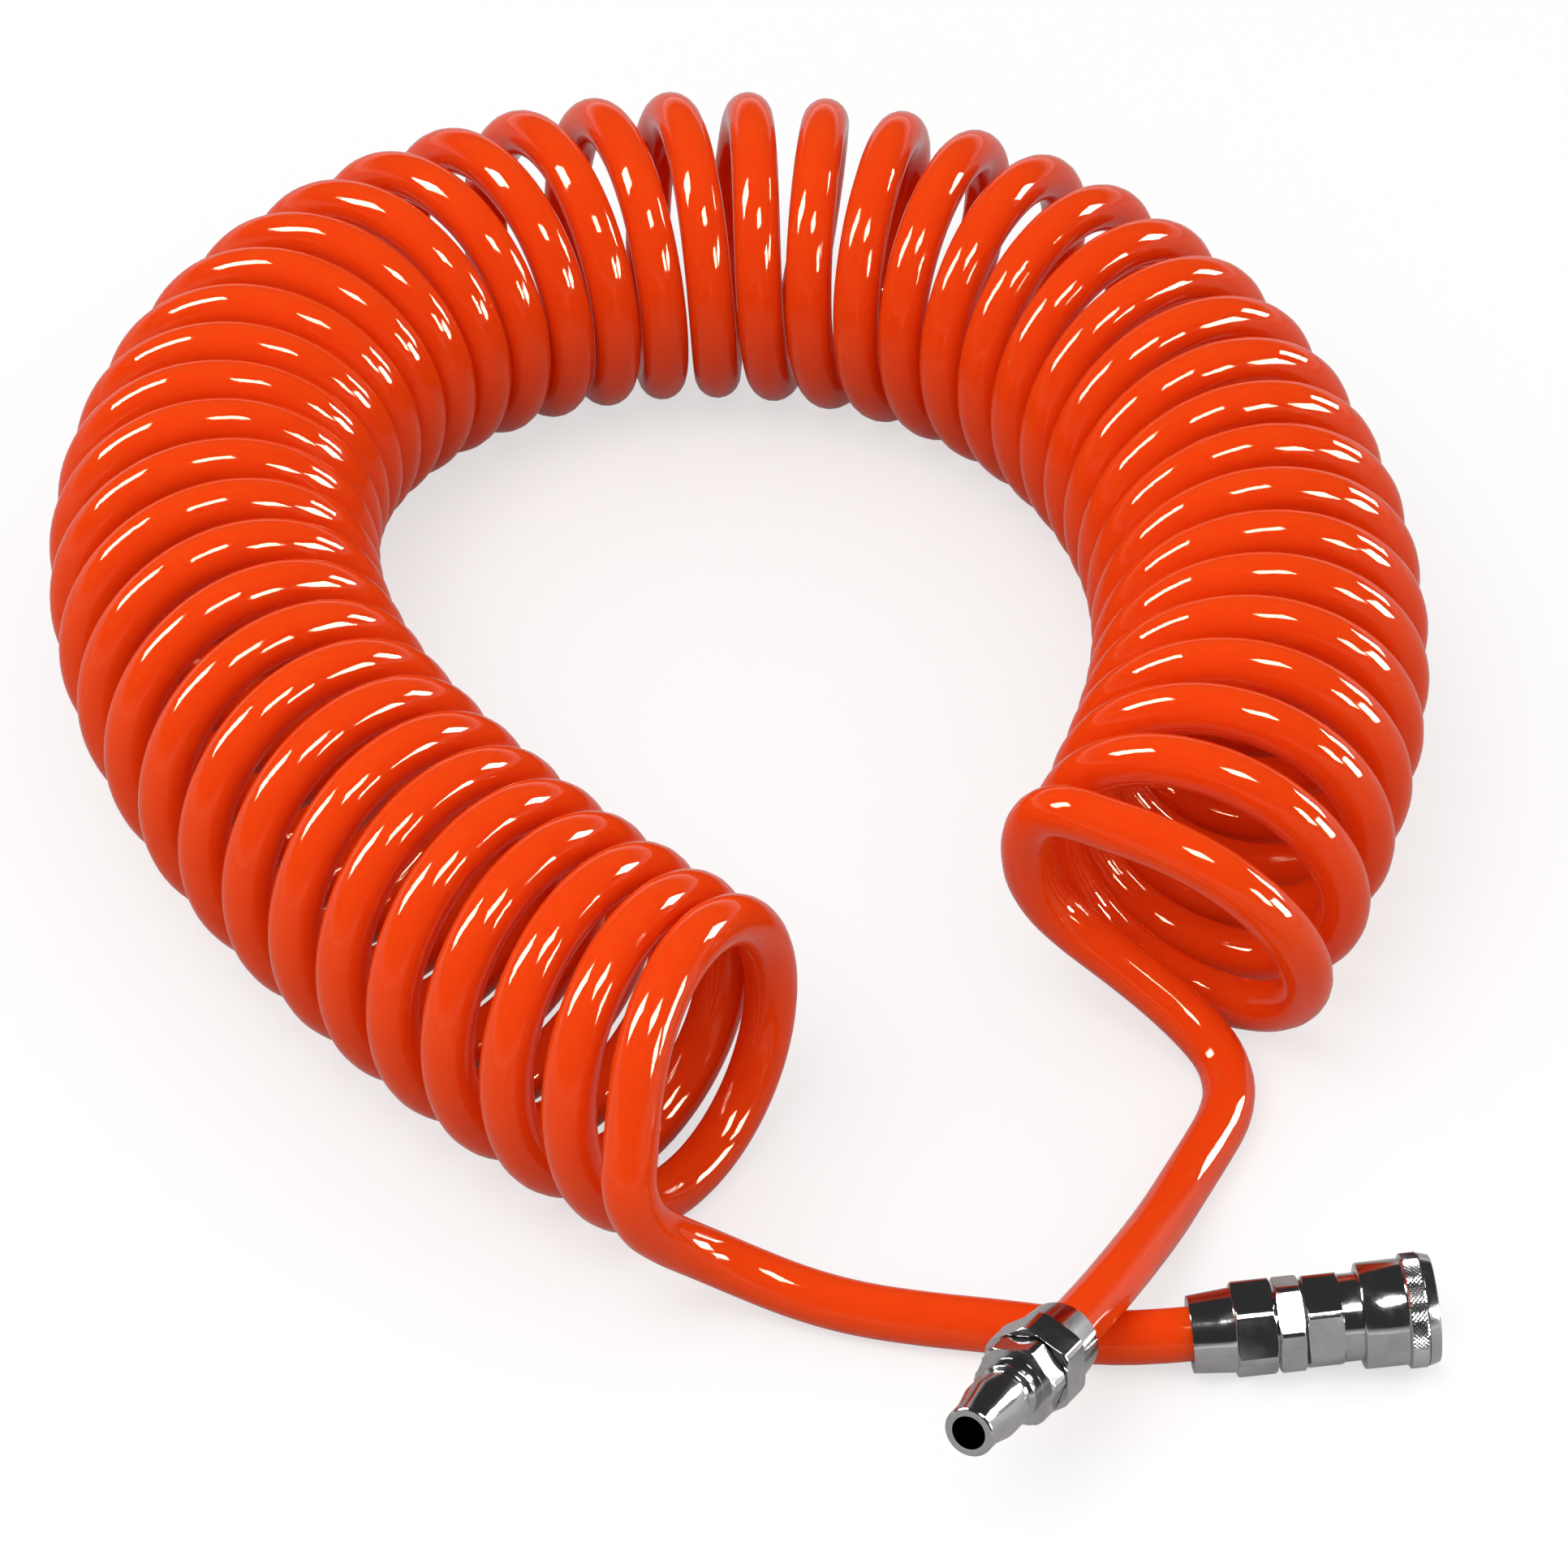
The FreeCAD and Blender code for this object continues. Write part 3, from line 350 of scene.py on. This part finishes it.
def dress(material, group, values, mask, colours, relief):
    """Feeds the shader two colours by a mask of the group, and the group's other outputs."""
    tree = material.node_tree
    shader = tree.nodes["Principled BSDF"]
    skin = tree.nodes.new("ShaderNodeGroup")
    skin.node_tree = group
    for name, value in values.items():
        skin.inputs[name.replace("_", " ").title()].default_value = value
    mix = tree.nodes.new("ShaderNodeMix")
    mix.data_type = "RGBA"
    for name, colour in zip("AB", colours):
        mix.inputs[name].default_value = (*colour, 1)
    tree.links.new(skin.outputs[mask], mix.inputs["Factor"])
    tree.links.new(mix.outputs["Result"], shader.inputs["Base Color"])
    tree.links.new(skin.outputs["Roughness"], shader.inputs["Roughness"])
    bump = tree.nodes.new("ShaderNodeBump")
    depth, strength = relief
    bump.inputs["Distance"].default_value = depth * MM
    bump.inputs["Strength"].default_value = strength
    tree.links.new(skin.outputs["Height"], bump.inputs["Height"])
    tree.links.new(bump.outputs["Normal"], shader.inputs["Normal"])


def hose_material(settings):
    """Glossy, slightly see-through polyurethane."""
    material = new_material("polyurethane")
    shader = material.node_tree.nodes["Principled BSDF"]
    for name, value in POLYURETHANE.items():
        shader.inputs[name].default_value = value
    dress(material, soft_skin_group(), HOSE_SKIN, "Drift", (settings.hose_deep, settings.hose),
          HOSE_RELIEF)
    return material


def metal_material(name, place, colours, grain, relief):
    """Metal with lathe lines that run round a coupling's axis."""
    material = new_material(name)
    shader = material.node_tree.nodes["Principled BSDF"]
    shader.inputs["Metallic"].default_value = 1.0
    dress(material, turned_metal_group(), {"axis": axis_of(place), **grain}, "Tarnish",
          colours, relief)


def shades(colour, share):
    """A colour, and the same darker or paler."""
    return colour, [part * share for part in colour]


def finishes(settings):
    """The couplings' finishes, each made once."""
    if FINISHES["rubber"] not in bpy.data.materials:
        for key, place in (("socket", SOCKET), ("plug", PLUG)):
            metal_material(FINISHES[key], place, (settings.chrome, settings.chrome_dull),
                           CHROME_GRAIN, CHROME_RELIEF)
        metal_material(FINISHES["steel"], SOCKET, shades(settings.steel, DULL_METAL),
                       STEEL_GRAIN, MACHINED_RELIEF)
        metal_material(FINISHES["brass"], SOCKET, shades(settings.brass, DULL_METAL),
                       BRASS_GRAIN, MACHINED_RELIEF)
        dress(new_material(FINISHES["rubber"]), soft_skin_group(), RUBBER_SKIN, "Drift",
              shades(settings.rubber, WORN_RUBBER), RUBBER_RELIEF)
    return {key: bpy.data.materials[name] for key, name in FINISHES.items()}


# The hose's route

def station(values, turn):
    """Value at a turn of the coil, evenly between the stations."""
    place = min(max(turn / LOOPS_PER_STATION, 0.0), len(values) - 1.0)
    k = min(int(place), len(values) - 2)
    return values[k] + (values[k + 1] - values[k]) * (place - k)


def middle_line(settings):
    """The coil's middle line on the floor: x, y and heading, from one turn before its start."""
    radius = settings.coil_radius / MM
    x, y, heading = COIL_START
    heading = math.radians(heading)
    line = [(x, y, heading)]
    for i in range((settings.coil_loops + 3) * STEPS_PER_TURN):
        turn = -1 + (i + 0.5) / STEPS_PER_TURN
        bend = math.radians(station(BEND, turn)) / STEPS_PER_TURN
        advance = station(INNER_PITCH, turn) / STEPS_PER_TURN + radius * bend
        x += advance * math.cos(heading - bend / 2)
        y += advance * math.sin(heading - bend / 2)
        heading -= bend
        line.append((x, y, heading))
    return line


def coil_point(settings, line, turn, spread=1.0):
    """Middle of the hose at a turn of the coil, its radius multiplied by spread."""
    step = (turn + 1) * STEPS_PER_TURN
    k = min(int(step), len(line) - 2)
    x, y, heading = [line[k][j] + (line[k + 1][j] - line[k][j]) * (step - k) for j in range(3)]
    radius = settings.coil_radius / MM
    rest = settings.hose_diameter / MM / 2
    from_first = turn - FIRST_TOP
    near_start = 2.0 ** -max(from_first, 0.0)
    near_end = 2.0 ** -max(settings.coil_loops - from_first, 0.0)
    lean = math.radians(FIRST_LEAN * near_start + LAST_LEAN * near_end)
    facing = heading + math.radians(LOOP_YAW + LAST_YAW * near_end)
    angle = 2 * math.pi * from_first
    side = radius * spread * math.sin(angle) + LAST_SHIFT * near_end
    rise = radius - settings.floor_lift / MM / 2
    height = rise * (1 + spread * math.cos(angle))
    ahead = height * math.sin(lean)
    return Vector((x + side * math.sin(facing) + ahead * math.cos(facing),
                   y - side * math.cos(facing) + ahead * math.sin(facing),
                   rest + height * math.cos(lean)))


def hose_route(settings):
    """Points that the hose follows, from the socket through the coil to the plug.

    The smooth curve runs inside its points, so those of the coil are spread outwards.
    """
    line = middle_line(settings)
    first = FIRST_TOP - START_ANGLE / 360
    last = FIRST_TOP + settings.coil_loops
    small = 1e-3
    start = coil_point(settings, line, first)
    start_way = (coil_point(settings, line, first + small) - start).normalized()
    end = coil_point(settings, line, last)
    end_way = (end - coil_point(settings, line, last - small)).normalized()
    coil_start = start - start_way * STRAIGHT_END
    coil_end = end + end_way * STRAIGHT_END
    steps = round((last - first) * settings.points_per_turn)
    spread = 1 / math.cos(math.pi / settings.points_per_turn)
    coil = [coil_point(settings, line, first + (last - first) * i / steps, spread)
            for i in range(steps + 1)]
    socket_tail = [coil_start - start_way * SOCKET_LEAD] + [Vector(p) for p in SOCKET_TAIL]
    plug_tail = [coil_end + end_way * PLUG_LEAD] + [Vector(p) for p in PLUG_TAIL]
    from_socket = [along(SOCKET, HOSE_END), along(SOCKET, SOCKET_RUN_IN)]
    to_plug = [along(PLUG, PLUG_RUN_IN), along(PLUG, HOSE_END)]
    drawn = [*reversed(socket_tail), coil_start, *coil, coil_end, *plug_tail]
    return from_socket + [point * MM for point in drawn] + to_plug


def make_hose(settings):
    """One tube along a smooth curve."""
    points = hose_route(settings)
    curve = bpy.data.curves.new("hose", "CURVE")
    curve.dimensions = "3D"
    curve.bevel_depth = settings.hose_diameter / 2
    curve.bevel_resolution = settings.hose_sides // 2 - 2
    curve.use_fill_caps = True
    spline = curve.splines.new("NURBS")
    spline.points.add(len(points) - 1)
    for held, point in zip(spline.points, points):
        held.co = (*point, 1.0)
    spline.order_u = 3
    spline.use_endpoint_u = True
    spline.resolution_u = settings.hose_rings
    hose = bpy.data.objects.new("hose", curve)
    bpy.context.scene.collection.objects.link(hose)
    curve.materials.append(hose_material(settings))
    return hose


# Metal and rubber pieces

def finish_edges(piece, bevel):
    """Breaks the sharp edges and shades flats flat and turned faces smooth."""
    if bevel > 0:
        broken = piece.modifiers.new("broken_edges", "BEVEL")
        broken.width = bevel
        broken.segments = 2
        broken.limit_method = "ANGLE"
        broken.angle_limit = math.radians(BEVELLED_ANGLE)
        bpy.ops.object.modifier_apply(modifier=broken.name)
    bpy.ops.object.shade_smooth_by_angle(angle=math.radians(SHADED_ANGLE))
    even = piece.modifiers.new("even_shading", "WEIGHTED_NORMAL")
    even.keep_sharp = True
    even.weight = FLAT_WEIGHT
    bpy.ops.object.modifier_apply(modifier=even.name)


def finished_copy(node, name, bevel):
    """A copy of a CAD node with its faces joined and its edges broken."""
    piece = bpy.data.objects.new(name, frame["nodes"][node].data.copy())
    bpy.context.scene.collection.objects.link(piece)
    piece.data.materials.clear()
    select_only(piece)
    bpy.ops.object.mode_set(mode="EDIT")
    bpy.ops.mesh.select_all(action="SELECT")
    bpy.ops.mesh.remove_doubles(threshold=SAME_POINT * MM)
    bpy.ops.mesh.dissolve_limited(angle_limit=math.radians(SAME_FLAT))
    bpy.ops.object.mode_set(mode="OBJECT")
    finish_edges(piece, bevel)
    return piece


def attach(piece, node, material):
    piece.data.materials.append(material)
    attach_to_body(piece, body_of_node(node))
    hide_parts(node)


def turned_piece(name, outline, sides):
    """A ring turned about Z, drawn out ring by ring along its closed outline."""
    place, radius = outline[0]
    bpy.ops.object.select_all(action="DESELECT")
    bpy.ops.mesh.primitive_circle_add(vertices=sides, radius=radius * MM,
                                      location=(0, 0, place * MM))
    piece = bpy.context.object
    piece.name = name
    bpy.ops.object.transform_apply(location=True, rotation=True, scale=True)
    bpy.ops.object.mode_set(mode="EDIT")
    bpy.ops.mesh.select_all(action="SELECT")
    for next_place, next_radius in outline[1:] + outline[:1]:
        bpy.ops.mesh.extrude_region_move(
            TRANSFORM_OT_translate={"value": (0, 0, (next_place - place) * MM)})
        share = next_radius / radius
        bpy.ops.transform.resize(value=(share, share, 1),
                                 center_override=(0, 0, next_place * MM))
        place, radius = next_place, next_radius
    bpy.ops.mesh.select_all(action="SELECT")
    bpy.ops.mesh.remove_doubles(threshold=SAME_POINT * MM)
    bpy.ops.mesh.normals_make_consistent(inside=False)
    bpy.ops.object.mode_set(mode="OBJECT")
    return piece


def mill_hexagon(piece, half_width, turn):
    """Six flats on a piece drawn along Z."""
    select_only(piece)
    bpy.ops.object.mode_set(mode="EDIT")
    for flat in range(6):
        angle = math.radians(60 * flat + 30 + turn)
        outwards = Vector((-math.sin(angle), math.cos(angle), 0))
        bpy.ops.mesh.select_all(action="SELECT")
        bpy.ops.mesh.bisect(plane_co=outwards * half_width * MM, plane_no=outwards,
                            use_fill=True, clear_outer=True)
    bpy.ops.object.mode_set(mode="OBJECT")


def cut_knurl(piece, rows, sides, depth):
    """Sinks every other point of the rows, so that four-sided points stand between grooves."""
    last = len(rows) - 1
    step = (rows[-1] - rows[0]) / last

    def row_of(point):
        """The row that a point is on, or less than 0 for one off the knurl."""
        return (point.z / MM - rows[0]) / step if point.xy.length > KNURL_FOOT * MM else -1

    select_only(piece)
    bpy.ops.object.mode_set(mode="EDIT")
    bpy.ops.mesh.select_all(action="DESELECT")
    bpy.ops.object.mode_set(mode="OBJECT")
    for vertex in piece.data.vertices:
        row = row_of(vertex.co)
        if -0.1 < row < last + 0.1:
            column = math.atan2(vertex.co.y, vertex.co.x) / (2 * math.pi) * sides
            vertex.select = (round(row) + round(column)) % 2 == 0
    bpy.ops.object.mode_set(mode="EDIT")
    bpy.ops.mesh.select_mode(type="VERT")
    share = 1 - depth / (KNURL_RADIUS * MM)
    bpy.ops.transform.resize(value=(share, share, 1), center_override=(0, 0, 0))
    bpy.ops.mesh.select_all(action="DESELECT")
    bpy.ops.object.mode_set(mode="OBJECT")
    for face in piece.data.polygons:
        face.select = 0 < row_of(face.center) < last
    bpy.ops.object.mode_set(mode="EDIT")
    bpy.ops.mesh.select_mode(type="FACE")
    bpy.ops.mesh.quads_convert_to_tris(quad_method="SHORTEST_DIAGONAL")
    bpy.ops.object.mode_set(mode="OBJECT")


def put_in_place(piece, place):
    """Moves a piece drawn along Z to its coupling, and its object back to the origin."""
    select_only(piece)
    piece.matrix_world = coupling_frame(place)
    bpy.ops.object.transform_apply(location=True, rotation=True, scale=True)


def make_sleeve(settings):
    sides = settings.knurl_teeth * 2
    pitch = 2 * math.pi * KNURL_RADIUS / sides
    count = round((KNURL_END - KNURL_START) / pitch)
    rows = [KNURL_START + (KNURL_END - KNURL_START) * i / count for i in range(count + 1)]
    outline = SLEEVE_OUTSIDE + [(row, KNURL_RADIUS) for row in rows] + SLEEVE_MOUTH
    sleeve = turned_piece("locking_sleeve", outline, sides)
    cut_knurl(sleeve, rows, sides, settings.knurl_depth)
    put_in_place(sleeve, SOCKET)
    bpy.ops.object.shade_smooth_by_angle(angle=math.radians(KNURL_SHADED_ANGLE))
    attach(sleeve, "socket_sleeve", finishes(settings)["socket"])


def make_plug(settings):
    plug = turned_piece("polished_plug_body", PLUG_OUTLINE, settings.turned_sides)
    mill_hexagon(plug, *PLUG_HEXAGON)
    finish_edges(plug, settings.edge_break)
    put_in_place(plug, PLUG)
    attach(plug, "plug_body", finishes(settings)["plug"])


# Stage

def camera(settings):
    bpy.ops.object.camera_add(location=settings.camera_place,
                              rotation=(math.radians(90) - settings.camera_tilt, 0, 0))
    made = bpy.context.object
    made.data.lens = settings.camera_lens
    made.data.sensor_width = SENSOR_WIDTH
    made.data.clip_start, made.data.clip_end = CAMERA_REACH
    bpy.context.scene.camera = made


def lamp(name, place, size, power, mirrored):
    """A softbox aimed at the coil. It either lights the surfaces or only shows in their gloss."""
    bpy.ops.object.light_add(type="AREA", location=place)
    made = bpy.context.object
    made.name = name
    made.data.shape = "RECTANGLE"
    made.data.size, made.data.size_y = size
    made.data.energy = power
    made.visible_diffuse = not mirrored
    made.visible_glossy = mirrored
    made.rotation_euler = (-Vector(place)).to_track_quat("-Z", "Y").to_euler()


def seen_and_mirrored(tree):
    """Masks of what the camera sees, and of what metal and glass show."""
    path = tree.nodes.new("ShaderNodeLightPath")
    mirrored = tree.nodes.new("ShaderNodeMath")
    mirrored.operation = "MAXIMUM"
    tree.links.new(path.outputs["Is Glossy Ray"], mirrored.inputs[0])
    tree.links.new(path.outputs["Is Transmission Ray"], mirrored.inputs[1])
    return path.outputs["Is Camera Ray"], mirrored.outputs["Value"]


def background(tree, strength):
    made = tree.nodes.new("ShaderNodeBackground")
    made.inputs["Strength"].default_value = strength
    return made


def choose(tree, mask, otherwise, shader):
    """One shader where the mask is 1, the other one elsewhere."""
    made = tree.nodes.new("ShaderNodeMixShader")
    for given, socket in zip((mask, otherwise, shader), made.inputs):
        tree.links.new(given, socket)
    return made.outputs["Shader"]


def world(settings):
    """Pale to the camera. Metal and gloss see it white at the horizon and dim overhead."""
    made = bpy.data.worlds.new("studio")
    bpy.context.scene.world = made
    made.use_nodes = True
    tree = made.node_tree
    tree.nodes.clear()
    seen_by_camera, seen_in_metal = seen_and_mirrored(tree)
    parts = tree.nodes.new("ShaderNodeSeparateXYZ")
    place = tree.nodes.new("ShaderNodeTexCoord")
    tree.links.new(place.outputs["Generated"], parts.inputs["Vector"])
    height = tree.nodes.new("ShaderNodeValToRGB")
    for stop, position, colour in zip(height.color_ramp.elements, ROOM_HEIGHTS,
                                      (WHITE, (*settings.ceiling, 1))):
        stop.position, stop.color = position, colour
    tree.links.new(parts.outputs["Z"], height.inputs["Fac"])
    lit = background(tree, settings.sky_light)
    mirrored = background(tree, 1.0)
    tree.links.new(height.outputs["Color"], mirrored.inputs["Color"])
    seen = background(tree, 1.0)
    seen.inputs["Color"].default_value = FAR_FLOOR
    in_room = choose(tree, seen_in_metal, lit.outputs["Background"],
                     mirrored.outputs["Background"])
    end = tree.nodes.new("ShaderNodeOutputWorld")
    tree.links.new(choose(tree, seen_by_camera, in_room, seen.outputs["Background"]),
                   end.inputs["Surface"])


def floor(settings):
    bpy.ops.mesh.primitive_plane_add(size=settings.floor_size, location=(0, 0, 0))
    made = bpy.context.object
    made.name = "floor"
    material = new_material("pale_floor")
    tree = material.node_tree
    shader = tree.nodes["Principled BSDF"]
    shader.inputs["Roughness"].default_value = 0.9
    shader.inputs["Specular IOR Level"].default_value = 0.1
    shader.inputs["Base Color"].default_value = (*settings.floor_colour, 1)
    shader.inputs["Emission Color"].default_value = WHITE
    seen_by_camera, seen_in_metal = seen_and_mirrored(tree)
    in_metal = multiply_add(tree, seen_in_metal, settings.floor_glow_in_metal, 0.0)
    tree.links.new(multiply_add(tree, seen_by_camera, settings.floor_glow, in_metal),
                   shader.inputs["Emission Strength"])
    made.data.materials.append(material)


class HoseSettings(bpy.types.PropertyGroup):
    hose_diameter: bpy.props.FloatProperty(
        name="Hose diameter", description="Outer diameter of the hose", default=0.012,
        unit="LENGTH")
    coil_radius: bpy.props.FloatProperty(
        name="Coil radius", description="From the coil's middle to the middle of the hose",
        default=0.0345, unit="LENGTH")
    coil_loops: bpy.props.IntProperty(
        name="Loops", description="Whole loops, counted from the top of the first one",
        default=45, min=2)
    floor_lift: bpy.props.FloatProperty(
        name="Floor lift", description="Depth of the CAD coil's flats, which the round hose "
        "stands on", default=0.0005, unit="LENGTH")
    points_per_turn: bpy.props.IntProperty(
        name="Points per turn", description="Control points in each loop of the coil",
        default=20, min=12)
    hose_sides: bpy.props.IntProperty(
        name="Sides", description="Faces around the hose", default=20, min=8)
    hose_rings: bpy.props.IntProperty(
        name="Rings", description="Rings from one control point to the next", default=4, min=2)
    hose: bpy.props.FloatVectorProperty(
        name="Hose colour", description="Orange-red of the polyurethane", subtype="COLOR",
        default=(0.9, 0.074, 0.006))
    hose_deep: bpy.props.FloatVectorProperty(
        name="Deep hose colour", description="Where the polyurethane looks deeper",
        subtype="COLOR", default=(0.85, 0.062, 0.005))


class FittingSettings(bpy.types.PropertyGroup):
    edge_break: bpy.props.FloatProperty(
        name="Edge break", description="Width of the bevel on turned and milled edges",
        default=0.00012, unit="LENGTH")
    turned_sides: bpy.props.IntProperty(
        name="Turned sides", description="Faces round the plug", default=96, min=24)
    knurl_teeth: bpy.props.IntProperty(
        name="Knurl points", description="Points of the knurl once round the sleeve",
        default=80, min=12)
    knurl_depth: bpy.props.FloatProperty(
        name="Knurl depth", description="Depth of the knurl's grooves", default=0.0003,
        unit="LENGTH")
    chrome: bpy.props.FloatVectorProperty(
        name="Chrome", description="Clean chrome plate", subtype="COLOR",
        default=(0.5, 0.49, 0.49))
    chrome_dull: bpy.props.FloatVectorProperty(
        name="Handled chrome", description="Chrome plate where hands have dulled it",
        subtype="COLOR", default=(0.4, 0.39, 0.385))
    steel: bpy.props.FloatVectorProperty(
        name="Steel", description="Balls, springs and ring", subtype="COLOR",
        default=(0.5, 0.5, 0.51))
    brass: bpy.props.FloatVectorProperty(
        name="Brass", description="Valve", subtype="COLOR", default=(0.78, 0.58, 0.28))
    rubber: bpy.props.FloatVectorProperty(
        name="Rubber", description="Seals and washers", subtype="COLOR",
        default=(0.012, 0.012, 0.012))


class StudioSettings(bpy.types.PropertyGroup):
    camera_place: bpy.props.FloatVectorProperty(
        name="Camera", description="Where the camera stands", subtype="TRANSLATION",
        default=(0.0125, -1.0386, 0.8627))
    camera_tilt: bpy.props.FloatProperty(
        name="Tilt", description="The camera looks this far below the horizon",
        default=math.radians(39.13), subtype="ANGLE")
    camera_lens: bpy.props.FloatProperty(
        name="Lens", description="Focal length in millimetres on a 36 mm sensor",
        default=128.63)
    floor_size: bpy.props.FloatProperty(
        name="Floor", description="Side of the square floor", default=8.0, unit="LENGTH")
    floor_colour: bpy.props.FloatVectorProperty(
        name="Floor colour", description="Pale grey, which the glow lifts to white",
        subtype="COLOR", default=(0.36, 0.36, 0.36))
    floor_glow: bpy.props.FloatProperty(
        name="Floor glow", description="Lifts the floor to white where the camera sees it",
        default=0.64)
    floor_glow_in_metal: bpy.props.FloatProperty(
        name="Floor glow in metal", description="Lifts the floor where metal and gloss show it",
        default=0.15)
    ceiling: bpy.props.FloatVectorProperty(
        name="Ceiling", description="What metal and gloss show of the room overhead",
        subtype="COLOR", default=(0.05, 0.05, 0.05))
    sky_light: bpy.props.FloatProperty(
        name="Room light", description="Soft light from all round", default=0.95)


class OBJECT_OT_hose_stage(bpy.types.Operator):
    """Camera, floor, room light and softboxes"""
    bl_idname = "object.hose_stage"
    bl_label = "Stage"

    def execute(self, context):
        settings = context.scene.hose_studio
        context.scene.view_settings.view_transform = "Standard"
        bpy.ops.object.select_all(action="DESELECT")
        camera(settings)
        world(settings)
        floor(settings)
        for name, values in LAMPS.items():
            lamp(name, *values)
        return {"FINISHED"}


class OBJECT_OT_hose_tube(bpy.types.Operator):
    """The hose itself, from the socket through the coil to the plug"""
    bl_idname = "object.hose_tube"
    bl_label = "Hose"

    def execute(self, context):
        settings = context.scene.hose_tube
        hose = make_hose(settings)
        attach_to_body(hose, "root")
        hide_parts("hose_coil", "socket_tail", "plug_tail")
        return {"FINISHED"}


class OBJECT_OT_hose_metal(bpy.types.Operator):
    """Hose nuts, adapter, socket body and plug"""
    bl_idname = "object.hose_metal"
    bl_label = "Turned and milled pieces"

    def execute(self, context):
        settings = context.scene.hose_fittings
        for node, finish in POLISHED.items():
            piece = finished_copy(node, "polished_" + node, settings.edge_break)
            attach(piece, node, finishes(settings)[finish])
        make_plug(settings)
        return {"FINISHED"}


class OBJECT_OT_hose_sleeve(bpy.types.Operator):
    """Locking sleeve with its diamond knurl"""
    bl_idname = "object.hose_sleeve"
    bl_label = "Locking sleeve"

    def execute(self, context):
        make_sleeve(context.scene.hose_fittings)
        return {"FINISHED"}


class OBJECT_OT_hose_small_parts(bpy.types.Operator):
    """Balls, springs, ring, valve and seals inside the socket"""
    bl_idname = "object.hose_small_parts"
    bl_label = "Small parts"

    def execute(self, context):
        made = finishes(context.scene.hose_fittings)
        for node, finish in SMALL_PARTS.items():
            piece = finished_copy(node, "finished_" + node, 0)
            attach(piece, node, made[finish])
            if node in SPRINGS:
                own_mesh(piece)
        return {"FINISHED"}


class VIEW3D_PT_recoil_hose(bpy.types.Panel):
    bl_label = "Recoil air hose"
    bl_space_type = "VIEW_3D"
    bl_region_type = "UI"
    bl_category = "Air Hose"

    def draw(self, context):
        for group in GROUPS:
            settings = getattr(context.scene, group)
            for name in settings.__annotations__:
                self.layout.prop(settings, name)
        for operator in OPERATORS:
            self.layout.operator(operator.bl_idname)


OPERATORS = (OBJECT_OT_hose_stage, OBJECT_OT_hose_tube, OBJECT_OT_hose_metal,
             OBJECT_OT_hose_sleeve, OBJECT_OT_hose_small_parts)
GROUPS = {"hose_tube": HoseSettings, "hose_fittings": FittingSettings,
          "hose_studio": StudioSettings}


def register():
    for registered in (*GROUPS.values(), *OPERATORS, VIEW3D_PT_recoil_hose):
        bpy.utils.register_class(registered)
    for name, group in GROUPS.items():
        setattr(bpy.types.Scene, name, bpy.props.PointerProperty(type=group))


def unregister():
    for name in GROUPS:
        delattr(bpy.types.Scene, name)
    for registered in reversed((*GROUPS.values(), *OPERATORS, VIEW3D_PT_recoil_hose)):
        bpy.utils.unregister_class(registered)


def main():
    register()
    bpy.ops.object.select_all(action="DESELECT")
    bpy.ops.object.hose_stage()
    bpy.ops.object.hose_tube()
    bpy.ops.object.hose_metal()
    bpy.ops.object.hose_sleeve()
    bpy.ops.object.hose_small_parts()


if __name__ == "__main__":
    main()
